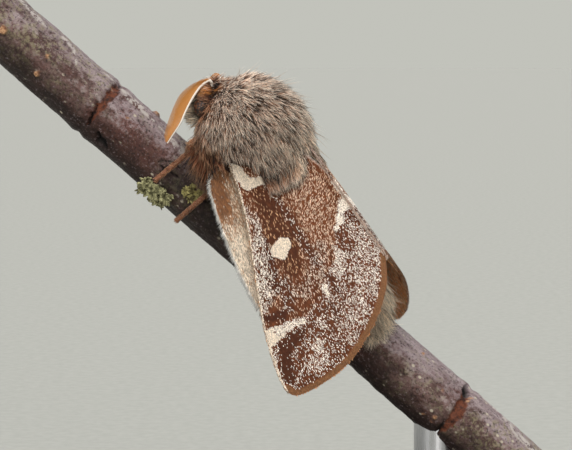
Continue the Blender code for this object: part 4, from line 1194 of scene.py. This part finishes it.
def makeEyes():
    material, tree, shader = newMaterial("eye", {"Roughness": 0.42, "Coat Weight": 0.15})
    cells = addNode(tree, "TexVoronoi", {"Vector": onObject(tree), "Scale": eye["facets"]})
    facet = rise(tree, cells.outputs["Distance"], 0.1, 0.6, 1.0, 0.0)
    tone = blend(tree, facet, *(srgb(*tone) for tone in eye["tones"]))
    feed(tree, shader, colour=tone, normal=bump(tree, facet, 0.5))
    for side, name in sides:
        place = np.array(eye["centre"]) * (1, side, 1)
        bpy.ops.mesh.primitive_uv_sphere_add(segments=64, ring_count=40, radius=eye["radius"], location=place)
        ball = bpy.context.object
        ball.name = "eyeBall" + name
        settle(ball, inMoth, 180)
        dress(ball, material, "eye", "eye_" + name.lower())


makeEyes()


# Feelers: a white shaft with two rows of close side branches, longest before the middle

feeler = {
    "path": ((4.15, 0.5, -0.55), (4.75, 0.72, -0.25), (4.74, 1.1, -0.84), (4.5, 1.5, -1.33),
             (4.2, 1.85, -1.8), (3.81, 2.2, -2.34), (3.34, 2.55, -2.95), (2.89, 2.9, -3.94),
             (2.7, 3.03, -4.35)),
    "edge": ((4.75, 0.72, -0.2), (4.93, 1.0, -0.4), (5.1, 1.4, -0.9), (5.1, 1.75, -1.4), (4.95, 2.1, -2.02),
             (4.5, 2.48, -2.68), (3.85, 2.8, -3.5), (3.25, 3.02, -4.15), (2.72, 3.06, -4.42)),
    "shaft": 0.1, "branches": 92, "starts": 0.2, "wide": 0.072, "thick": 0.022, "steps": 6, "curl": 0.1,
    # the two rows of branches stand this far apart, and the far feeler this much lower
    "folds": (0, 75), "farShift": (-0.15, -0.15, -0.3),
    "white": (244, 234, 220), "tones": ((174, 112, 46), (204, 140, 72)),
}


def makeTube(name, points, radii, rounds=2):
    # a tube through the points, closed at both ends
    curve = bpy.data.curves.new(name, "CURVE")
    curve.dimensions = "3D"
    curve.bevel_depth = 1
    curve.bevel_resolution = rounds
    curve.use_fill_caps = True
    spline = curve.splines.new("POLY")
    spline.points.add(len(points) - 1)
    for stop, place, radius in zip(spline.points, points, radii):
        stop.co = (*place, 1)
        stop.radius = radius
    tube = bpy.data.objects.new(name, curve)
    bpy.context.scene.collection.objects.link(tube)
    onlySelect(tube)
    bpy.ops.object.convert(target="MESH")
    return bpy.context.object


def branchRow(side, fold):
    # one row of flattened branches from the shaft out to the blade's edge
    share = np.linspace(feeler["starts"], 0.995, feeler["branches"])
    start = splineThrough(feeler["path"])(share)
    ahead = unit(np.gradient(start, axis=0))
    onward = (share - feeler["starts"]) / (1 - feeler["starts"])
    reach = splineThrough(feeler["edge"])(onward * 0.97 + 0.02) - start
    angle = math.radians(fold)
    turned = reach * math.cos(angle) + np.cross(ahead, reach) * math.sin(angle)
    turned += ahead * (ahead * reach).sum(1, keepdims=True) * (1 - math.cos(angle))
    start = start + unit(turned) * feeler["shaft"] * 0.7
    turned = turned * 0.97
    flat = unit(ahead - turned * ((ahead * turned).sum(1) / np.maximum((turned**2).sum(1), 1e-9))[:, None])
    out = unit(np.cross(flat, turned))
    rings = feeler["steps"] + 1
    points = []
    for k in range(rings):
        s = k / feeler["steps"]
        middle = start + turned * s + out * (feeler["curl"] * math.sin(math.pi * s))
        wide = feeler["wide"] * (1 - 0.45 * s)
        thick = feeler["thick"] * (1 - 0.4 * s)
        for a, b in ((1, 0), (0, 1), (-1, 0), (0, -1)):
            points.append(middle + flat * a * wide / 2 + out * b * thick)
    points = np.stack(points, 1)
    faces = [(0, 3, 2, 1)]
    for k in range(rings - 1):
        for c in range(4):
            a, b = 4 * k + c, 4 * k + (c + 1) % 4
            faces.append((a, b, b + 4, a + 4))
    faces.append(tuple(4 * (rings - 1) + c for c in range(4)))
    faces = repeatFaces(faces, len(start), 4 * rings)
    return onSide(points.reshape(-1, 3), side), faces[:, ::-1] if side < 0 else faces


def onSide(points, side):
    # the far feeler mirrors the near one and is held a little lower
    return points if side > 0 else points * (1, -1, 1) + np.array(feeler["farShift"])


def makeFeelers():
    shaftStuff, _, _ = newMaterial("feelerShaft", {"Roughness": 0.55, "Base Color": srgb(*feeler["white"])})
    bladeStuff, tree, shader = newMaterial("feelerBranch", {
        "Roughness": 0.42, "Sheen Weight": 0.08, "Subsurface Weight": 0.15, "Subsurface Scale": 0.2 * mm,
        "Subsurface Radius": (1.0, 0.5, 0.25),
    })
    grain = grainOf(tree, 5200.0, 0.2)
    tone = blend(tree, grain["Fac"], *(srgb(*tone) for tone in feeler["tones"]))
    feed(tree, shader, colour=tone, normal=grain["Normal"])
    share = np.linspace(0, 1, 60)
    for side, name in sides:
        node = "antenna_" + name.lower()
        line = onSide(splineThrough(feeler["path"])(share), side)
        shaft = makeTube("feelerShaft" + name, line, feeler["shaft"] * (1 - 0.65 * share))
        settle(shaft, inMoth, 60)
        dress(shaft, shaftStuff, "feeler", node)
        (points, faces), (more, moreFaces) = (branchRow(side, fold) for fold in feeler["folds"])
        faces = np.concatenate([faces, moreFaces + len(points)])
        blade = meshFrom("feelerBranches" + name, np.concatenate([points, more]), faces, smooth=False)
        dress(blade, bladeStuff, "feeler", node)


makeFeelers()
print("eyes and feelers made")


# Legs: thigh, shin and a foot of five short joints held round the twig

legs = {
    "fore": {"along": -2.6, "turns": (48, 80, 112), "knee": (1.7, 2.5, -3.1), "hip": (1.9, 1.2, -2.3),
             "seed": 85},
    "mid": {"along": 0.3, "turns": (62, 96, 146), "knee": (-0.7, 2.4, -3.5), "hip": (0.1, 1.3, -2.4),
            "seed": 91},
    "hind": {"along": 4.6, "turns": (42, 66, 92), "knee": (-3.0, 2.2, -3.8), "hip": (-1.7, 1.2, -2.6),
             "seed": 87},
}
leg = {"held": 2.72, "thigh": 0.3, "shin": 0.21, "foot": 0.19, "pinch": 0.42,
       "tones": ((96, 54, 32), (150, 92, 56))}
# the share of a leg's hairs and their length on its thigh, shin and foot
legFur = {"count": 1900, "shares": (0.36, 0.32, 0.32), "lengths": (0.42, 0.44, 0.26), "width": 0.045,
          "lift": 34, "tipLift": 6, "stray": 0.26, "clump": 1, "clumpSize": 0.0, "pull": 0.0, "rings": 2}


def legPath(name, side):
    # hip, knee and the line of the foot, in the moth's axes
    kind = legs[name]
    intoMoth = np.array(mothMatrix.inverted() @ twigMatrix)
    toes = []
    for k, turn in enumerate(kind["turns"]):
        reach = leg["held"] + (0.12 if k == 0 else 0.02)
        a = math.radians(turn)
        along = seat["along"] + kind["along"] - 0.25 * k
        at = np.array((along, -side * reach * math.sin(a), reach * math.cos(a)))
        toes.append(intoMoth[:3, :3] @ at + intoMoth[:3, 3] / mm)
    hip = np.array(kind["hip"]) * (1, side, 1)
    knee = np.array(kind["knee"]) * (1, side, 1)
    return hip, knee, toes


def makeLegs():
    material, tree, shader = newMaterial("leg", {"Roughness": 0.5, "Sheen Weight": 0.2})
    grain = grainOf(tree, 3800.0, 0.35)
    tone = blend(tree, grain["Fac"], *(srgb(*tone) for tone in leg["tones"]))
    feed(tree, shader, colour=tone, normal=grain["Normal"])
    hairStuff = hairMaterial("legHair", (96, 52, 32), (162, 106, 70), (222, 182, 146), 0.3, 0.1)
    for name in legs:
        for side, hand in sides:
            hip, knee, toes = legPath(name, side)
            toThigh, toShin = np.linspace(0, 1, 9), np.linspace(0, 1, 12)
            thigh = mix(hip, knee, toThigh[:, None])
            bend = knee * 0.5 + toes[0] * 0.5 + np.array((0, side * 0.2, 0))
            shin = splineThrough([knee, bend, toes[0]])(toShin)
            foot = splineThrough(toes)(np.linspace(0, 1, 46))
            # each of the five joints widens to its end
            bead = (np.linspace(0, 4.999, 46) % 1) ** 0.6
            parts = [
                makeTube("thigh", thigh, leg["thigh"] * (0.75 + 0.3 * np.sin(2.6 * toThigh))),
                makeTube("shin", shin, leg["shin"] * (0.8 + 0.2 * np.sin(3 * toShin))),
                makeTube("foot", foot, leg["foot"] * (1 - leg["pinch"] * (1 - bead))),
            ]
            end = foot[-1]
            ahead = unit(end - foot[-4])
            for turn in (-1, 1):
                aside = unit(np.cross(ahead, end - hip)) * turn
                hook = end + ahead * 0.24 + aside * 0.08 - (end - knee) * 0.03
                claw = np.stack([end, end + ahead * 0.14 + aside * 0.09, hook])
                parts.append(makeTube("claw", claw, (0.06, 0.045, 0.01)))
            limb = joinAll(parts, "leg" + name.title() + hand)
            settle(limb, inMoth, 50)
            node = f"leg_{name}_{hand.lower()}"
            dress(limb, material, "leg", node)
            seed = legs[name]["seed"] + (side < 0)
            coat = legHairs("legHair" + name.title() + hand, (thigh, shin, foot), seed)
            dress(coat, hairStuff, "leg", node)


def legHairs(name, lines, seed):
    chance = np.random.default_rng(seed)
    roots, ups, lies, longs = [], [], [], []
    for line, part, share, long in zip(lines, ("thigh", "shin", "foot"), legFur["shares"], legFur["lengths"]):
        count = int(legFur["count"] * share)
        path = splineThrough(line)
        s = chance.random(count)
        at = path(s)
        ahead = unit(path(np.minimum(s + 0.02, 1)) - path(np.maximum(s - 0.02, 0)))
        around = unit(np.cross(ahead, chance.normal(0, 1, (count, 3))))
        roots.append(at + around * leg[part] * 0.85)
        ups.append(around)
        lies.append(ahead)
        longs.append(np.full(count, long))
    roots, ups, lies = (np.concatenate(rows) for rows in (roots, ups, lies))
    look = {**legFur, "length": np.concatenate(longs)}
    return growHairs(name, roots, ups, lies, look, bodySpots, noShades, 7)


makeLegs()
print("legs made")


# Twig: a grid rolled up, with ring scars and cut ends

twig = {
    "bump": 0.11, "scars": (-15.1, 17.1), "scarDepth": 0.14, "scarWidth": 0.3, "lip": 0.09,
    "rows": 530, "columns": 148, "capRows": 12, "ragged": 0.16,
}
# Marks on the bark: what shows, how soft the edge is, how deep it is sunk, how strong it is, and then
# (along, turn in degrees, half width) stops
barkMarks = (
    ("bare", 0.1, 0.13, 1.0, (-15.15, -22, 0.16), (-15.1, -45, 0.34), (-15.05, -77, 0.3), (-15.1, -105, 0.24),
     (-14.95, -124, 0.1)),
    ("dark", 0.1, 0.3, 1.0, (-15.1, -9, 0.12), (-15.1, -16, 0.1)),
    ("dark", 0.12, 0.2, 1.0, (-15.25, -84, 0.02), (-15.15, -112, 0.09), (-14.9, -126, 0.05)),
    ("dark", 0.12, 0.4, 1.0, (-14.1, -126, 0.06), (-13.6, -134, 0.36), (-13.1, -140, 0.2)),
    ("dark", 0.12, 0.42, 1.0, (16.6, -18, 0.2), (16.75, -33, 0.36)),
    ("bare", 0.1, 0.13, 1.0, (16.85, -42, 0.36), (17.1, -70, 0.44), (17.2, -100, 0.34), (17.1, -134, 0.06)),
    ("dark", 0.1, 0.16, 1.0, (16.75, -104, 0.02), (16.95, -124, 0.09), (17.1, -138, 0.03)),
    ("dark", 0.1, 0.1, 1.0, (-9.75, -89, 0.02), (-9.1, -76, 0.07), (-8.0, -72, 0.04)),
    ("dark", 0.1, 0.12, 1.0, (-9.75, -89, 0.02), (-9.0, -94, 0.09), (-8.0, -86, 0.05)),
    # painted shadow: a soft dark patch, sunk a little, on the bark under the moth
    ("dark", 1.6, 0.1, 0.7, (-7.8, -96, 0.7), (-5.6, -88, 1.0), (-3.4, -98, 0.8)),
    ("peel", 0.14, -0.03, 1.0, (-24.6, -22, 0.16), (-22.6, -28, 0.26), (-21.4, -34, 0.1)),
    ("peel", 0.12, -0.03, 1.0, (-20.3, -20, 0.1), (-19.3, -26, 0.2), (-18.3, -50, 0.08)),
    ("peel", 0.14, -0.03, 1.0, (-16.6, -18, 0.12), (-15.5, -24, 0.14)),
    ("peel", 0.14, -0.03, 1.0, (-14.6, -28, 0.3), (-13.0, -32, 0.34), (-11.8, -36, 0.12)),
    ("peel", 0.14, -0.03, 1.0, (-11.3, -38, 0.08), (-9.3, -46, 0.3), (-8.2, -44, 0.1)),
    ("peel", 0.14, -0.04, 1.0, (17.9, -8, 0.1), (19.6, -12, 0.26), (21.5, -28, 0.34), (23.8, -36, 0.3)),
    ("tan", 0.12, -0.2, 1.0, (-23.5, -94, 0.3)),
    ("tan", 0.1, -0.2, 1.0, (-19.8, -114, 0.2)),
    ("tan", 0.1, -0.08, 1.0, (-20.05, -76, 0.1)),
    ("tan", 0.2, -0.22, 1.0, (-11.9, -6, 0.22)),
    ("tan", 0.1, -0.05, 1.0, (16.1, -112, 0.16)),
    ("tan", 0.1, -0.04, 1.0, (12.8, -30, 0.12)),
)
lenticels = {"count": 34, "size": 0.05, "spread": 0.06, "raised": 0.05, "seed": 5}


def barkPlaces():
    # the listed marks, and small pores strewn on every side of the twig
    chance = np.random.default_rng(lenticels["seed"])
    marks = list(barkMarks)
    for _ in range(lenticels["count"]):
        along, turn = chance.uniform(-25, 25), chance.uniform(-180, 180)
        half = lenticels["size"] + lenticels["spread"] * chance.random()
        marks.append(("tan", 0.1, -lenticels["raised"], 1.0, (along, turn, half)))
    return marks


def twigRadius(along, turn):
    still = np.stack([along / 5.5, 1.3 * np.cos(turn), 1.3 * np.sin(turn)], 1)
    radius = perch["radius"] + twig["bump"] * np.array([noise.noise(Vector(p)) for p in still.tolist()])
    for scar in twig["scars"]:
        away = along - scar - 0.25 * np.sin(turn)
        radius = radius - twig["scarDepth"] * np.exp(-((away / twig["scarWidth"]) ** 2))
        radius = radius + twig["lip"] * np.exp(-((away / (4 * twig["scarWidth"])) ** 2))
    return radius


def makeTwig():
    rows, columns = twig["rows"], twig["columns"]
    bpy.ops.mesh.primitive_grid_add(x_subdivisions=rows, y_subdivisions=columns, size=1)
    piece = bpy.context.object
    piece.name = "twigBark"
    flat = pointsOf(piece.data)
    row = np.round((flat[:, 0] + 0.5) * rows)
    turn = flat[:, 1] * 2 * math.pi
    cap = twig["capRows"]
    share = np.clip(np.minimum(row, rows - row) / cap, 0, 1)
    along = ((np.clip(row, cap, rows - cap) - cap) / (rows - 2 * cap) - 0.5) * perch["length"]

    def noiseRound(stretch, turns, seed, scale=1.0):
        places = np.stack([along / stretch, turns * np.sin(turn), turns * np.cos(turn)], 1)
        return softNoise(places, scale, seed)

    rough = 0.05 * noiseRound(2.2, 2.2, 2.0) + 0.04 * noiseRound(0.9, 6, 7.0)
    rough = rough + 0.022 * noiseRound(0.3, 11, 1.0)
    unrolled = np.stack([along, turn * perch["radius"]], 1)
    ragged = unrolled + twig["ragged"] * np.stack([noiseRound(0.9, 6, s, 0.8) for s in (3.0, 11.0)], 1)
    shown = {kind: np.zeros(len(flat)) for kind in ("bare", "dark", "tan", "peel")}
    for shows, soft, depth, most, *stops in barkPlaces():
        line = [(a, math.radians(t) * perch["radius"], half) for a, t, half in stops]
        there = smoothStep(0.5 - distanceTo(ragged, line) / soft) * most
        rough = rough - depth * there
        for kind in shown:
            shown[kind] = np.maximum(shown[kind], there) if kind == shows else shown[kind] * (1 - there)
    whole = share >= 1
    full = (twigRadius(along, turn) + rough * whole) * np.where(whole, 1, share**0.9)
    places = np.stack([along, full * np.sin(turn), full * np.cos(turn)], 1)
    places[~whole, 0] += 0.02 * softNoise(places[~whole] * 4, 1.0, 5.0)
    piece.data.vertices.foreach_set("co", places.astype(np.float32).ravel())
    marked = np.stack([shown["bare"], shown["dark"], shown["tan"]], 1) * whole[:, None]
    setAttribute(piece.data, "cut", (share < 1).astype(float))
    setAttribute(piece.data, "peel", shown["peel"] * whole)
    setAttribute(piece.data, "barkMarks", marked)
    setAttribute(piece.data, "upward", np.stack([np.cos(turn), np.sin(turn), along], 1))
    onlySelect(piece)
    bpy.ops.object.mode_set(mode="EDIT")
    bpy.ops.mesh.select_all(action="SELECT")
    bpy.ops.mesh.remove_doubles(threshold=0.0005)
    bpy.ops.mesh.normals_make_consistent(inside=False)
    bpy.ops.object.mode_set(mode="OBJECT")
    settle(piece, inTwig, 40)
    dress(piece, barkMaterial(), "bark", "perch_twig")


# the below tone is painted shade for the twig's underside
bark = {
    "ground": ((80, 57, 52), (114, 87, 81)), "maroon": ((94, 48, 40),), "algae": ((134, 124, 92),),
    "film": ((134, 117, 121), (172, 158, 161)), "below": ((32, 20, 16),), "pits": ((28, 18, 14),),
    "specks": ((190, 180, 160),), "bare": ((40, 18, 10), (104, 54, 32)), "dark": ((14, 9, 7),),
    "tan": ((120, 80, 56), (190, 146, 108)), "peel": ((160, 150, 146), (206, 198, 190)),
    "wood": ((196, 168, 128), (214, 190, 150)),
}


def barkMaterial():
    material, tree, shader = newMaterial("bark", {"Roughness": 0.62, "Specular IOR Level": 0.3})
    tilt = {"Vector": onObject(tree), "Angle": -math.radians(perch["tilt"])}
    turned = addNode(tree, "VectorRotate", tilt, rotation_type="Y_AXIS").outputs[0]

    def stretched(share):
        return addNode(tree, "Mapping", {"Vector": turned, "Scale": (share, 1, 1)}).outputs[0]

    def tones(name):
        return (srgb(*tone) for tone in bark[name])

    patches = noiseOf(tree, stretched(0.5), 620.0, 6.0, 0.68)
    clouds = noiseOf(tree, stretched(0.6), 240.0, 5.0, 0.62)
    streaks = noiseOf(tree, stretched(0.16), 2100.0, 6.0, 0.72)
    grains = noiseOf(tree, turned, 5200.0, 4.0, 0.75)
    grit = noiseOf(tree, turned, 2500.0, 5.0, 0.75)
    upward = partsOf(tree, "upward")["X"]
    base = blend(tree, rise(tree, patches, 0.42, 0.58), *tones("ground"))
    reddish = times(tree, rise(tree, clouds, 0.5, 0.6), rise(tree, grit, 0.36, 0.56, 0.35, 0.95))
    base = blend(tree, reddish, base, *tones("maroon"))
    # the grey film lies thickest on top
    cover = timesPlus(tree, upward, 0.14, timesPlus(tree, patches, 0.5, times(tree, grit, 0.5)))
    film = blend(tree, rise(tree, streaks, 0.4, 0.62), *tones("film"))
    base = blend(tree, rise(tree, cover, 0.5, 0.62, 0.0, 0.8), base, film)
    greenish = times(tree, rise(tree, clouds, 0.44, 0.54, 1.0, 0.15), rise(tree, grit, 0.47, 0.58, 0.0, 0.7))
    base = blend(tree, greenish, base, *tones("algae"))
    # painted shade: the bark gets darker towards the twig's underside, and in some patches, in the below tone
    shade = timesPlus(tree, upward, 0.6, times(tree, patches, 0.9))
    base = blend(tree, rise(tree, shade, -0.05, 0.66, 0.94, 0.0), base, *tones("below"))
    base = blend(tree, rise(tree, grains, 0.36, 0.48, 0.8, 0.0), base, *tones("pits"))
    base = blend(tree, rise(tree, grains, 0.56, 0.66, 0.0, 0.4), base, film)
    specks = addNode(tree, "TexVoronoi", {"Vector": stretched(0.8), "Scale": 1500.0}).outputs["Distance"]
    speckShare = times(tree, rise(tree, specks, 0.09, 0.2, 0.9, 0.0), rise(tree, patches, 0.46, 0.56))
    base = blend(tree, speckShare, base, *tones("specks"))
    peeling = times(tree, attribute(tree, "peel"), rise(tree, grit, 0.42, 0.52, 0.0, 0.9))
    base = blend(tree, peeling, base, blend(tree, grit, *tones("peel")))
    marks = partsOf(tree, "barkMarks")
    base = blend(tree, marks["X"], base, blend(tree, rise(tree, grit, 0.35, 0.6), *tones("bare")))
    base = blend(tree, marks["Z"], base, blend(tree, rise(tree, grit, 0.4, 0.6), *tones("tan")))
    base = blend(tree, marks["Y"], base, *tones("dark"))
    wave = {"Vector": turned, "Scale": 700.0, "Distortion": 1.5, "Detail": 2.0}
    rings = addNode(tree, "TexWave", wave, wave_type="RINGS", rings_direction="X").outputs["Fac"]
    base = blend(tree, attribute(tree, "cut"), base, blend(tree, rings, *tones("wood")))
    relief = timesPlus(tree, streaks, 0.5, timesPlus(tree, grit, 0.7, times(tree, grains, 0.4)))
    rough = rise(tree, streaks, 0.3, 0.7, 0.5, 0.75)
    feed(tree, shader, colour=base, normal=bump(tree, relief, 0.8, 0.14 * mm), roughness=rough)
    return material


makeTwig()
print("twig made")


# Lichen: curled lobes on the twig's underside

lichens = (
    {"name": "lichenPale", "node": "lichen_pale", "along": -8.45, "spread": 1.05, "turn": -140,
     "turnSpread": 20, "lobes": 60, "size": 0.46, "tones": ((66, 62, 34), (192, 188, 142)), "seed": 3},
    {"name": "lichenGreen", "node": "lichen_green", "along": -6.4, "spread": 0.6, "turn": -92,
     "turnSpread": 12, "lobes": 40, "size": 0.3, "tones": ((62, 52, 26), (178, 168, 108)), "seed": 8},
)


def makeLichen(kind):
    chance = np.random.default_rng(kind["seed"])
    lobes = []
    for _ in range(kind["lobes"]):
        along = kind["along"] + kind["spread"] * chance.uniform(-1, 1)
        turn = math.radians(kind["turn"] + kind["turnSpread"] * chance.uniform(-1, 1))
        bpy.ops.mesh.primitive_grid_add(x_subdivisions=10, y_subdivisions=10, size=1)
        lobe = bpy.context.object
        size = kind["size"] * chance.uniform(0.7, 1.3)
        roll, fold = chance.uniform(-0.7, 0.7), chance.uniform(0.5, 1.5)
        for vertex in lobe.data.vertices:
            x, y, _ = vertex.co
            reach = 1 + 0.25 * math.sin(5 * math.atan2(y, x) + roll * 5)
            curl = fold * (x + 0.5) ** 2 * 0.5 + 0.3 * (y * y) + 0.1 * math.sin(9 * y + 4 * roll)
            vertex.co = (x * reach, y * reach, curl)
        out = Vector((0, math.sin(turn), math.cos(turn)))
        spin = Matrix.Rotation(chance.uniform(0, 2 * math.pi), 4, "Z")
        foot = Vector((along, 0, 0)) + out * (perch["radius"] + 0.1 + 0.25 * chance.random())
        lobe.matrix_world = (
            Matrix.Translation(foot) @ out.to_track_quat("Z", "Y").to_matrix().to_4x4()
            @ spin @ Matrix.Rotation(chance.uniform(-0.5, 1.0), 4, "Y")
            @ Matrix.Diagonal((size, size * 0.8, size, 1))
        )
        lobes.append(lobe)
    patch = joinAll(lobes, kind["name"])
    settle(patch)
    addModifier(patch, "SOLIDIFY", thickness=0.06, offset=0)
    material, tree, shader = newMaterial(kind["name"], {"Roughness": 0.9})
    grain = grainOf(tree, 2600.0, 0.6)
    tone = blend(tree, rise(tree, grain["Fac"], 0.35, 0.65), *(srgb(*tone) for tone in kind["tones"]))
    feed(tree, shader, colour=tone, normal=grain["Normal"])
    settle(patch, inTwig, 60)
    dress(patch, material, "lichen", kind["node"])


for kind in lichens:
    makeLichen(kind)
print("lichen made")


# Stand: a plain block and one rod up to the twig

stand = {"base": (46, 34, 4), "edge": 0.8, "rodRadius": 1.4, "rodX": 10, "rodFrom": 4.0, "into": 0.5,
         "baseTone": (30, 30, 32), "rodTone": (190, 190, 192)}


def makeStand():
    black = {"Roughness": 0.35, "Base Color": srgb(*stand["baseTone"])}
    baseStuff, tree, shader = newMaterial("standBase", black)
    grain = grainOf(tree, 1500.0, 0.08)
    feed(tree, shader, roughness=rise(tree, grain["Fac"], 0.3, 0.7, 0.3, 0.44), normal=grain["Normal"])
    wide, deep, high = stand["base"]
    bpy.ops.mesh.primitive_cube_add(size=1, location=(0, 0, high / 2 * mm))
    base = bpy.context.object
    base.name = "standBase"
    base.scale = (wide * mm, deep * mm, high * mm)
    settle(base)
    addModifier(base, "BEVEL", width=stand["edge"] * mm, segments=6, limit_method="ANGLE")
    settle(base, None, 40)
    dress(base, baseStuff, "stand", "stand_base")

    steel = {"Metallic": 1.0, "Roughness": 0.3, "Base Color": srgb(*stand["rodTone"])}
    rodStuff, tree, shader = newMaterial("standRod", steel)
    drawn = addNode(tree, "Mapping", {"Vector": onObject(tree), "Scale": (1, 1, 0.04)}).outputs[0]
    brushed = noiseOf(tree, drawn, 9000.0)
    feed(tree, shader, roughness=rise(tree, brushed, 0.3, 0.7, 0.24, 0.42), normal=bump(tree, brushed, 0.1))
    fall = (stand["rodX"] - perch["centre"][0]) * math.tan(math.radians(perch["tilt"]))
    tall = perch["centre"][2] - fall - stand["into"] - stand["rodFrom"]
    middle = (stand["rodX"] * mm, 0, (stand["rodFrom"] + tall / 2) * mm)
    thick = stand["rodRadius"] * mm
    bpy.ops.mesh.primitive_cylinder_add(vertices=64, radius=thick, depth=tall * mm, location=middle)
    rod = bpy.context.object
    rod.name = "standRod"
    settle(rod, None, 40)
    dress(rod, rodStuff, "rod", "stand_rod")


makeStand()
print("stand made")

bpy.context.view_layer.update()
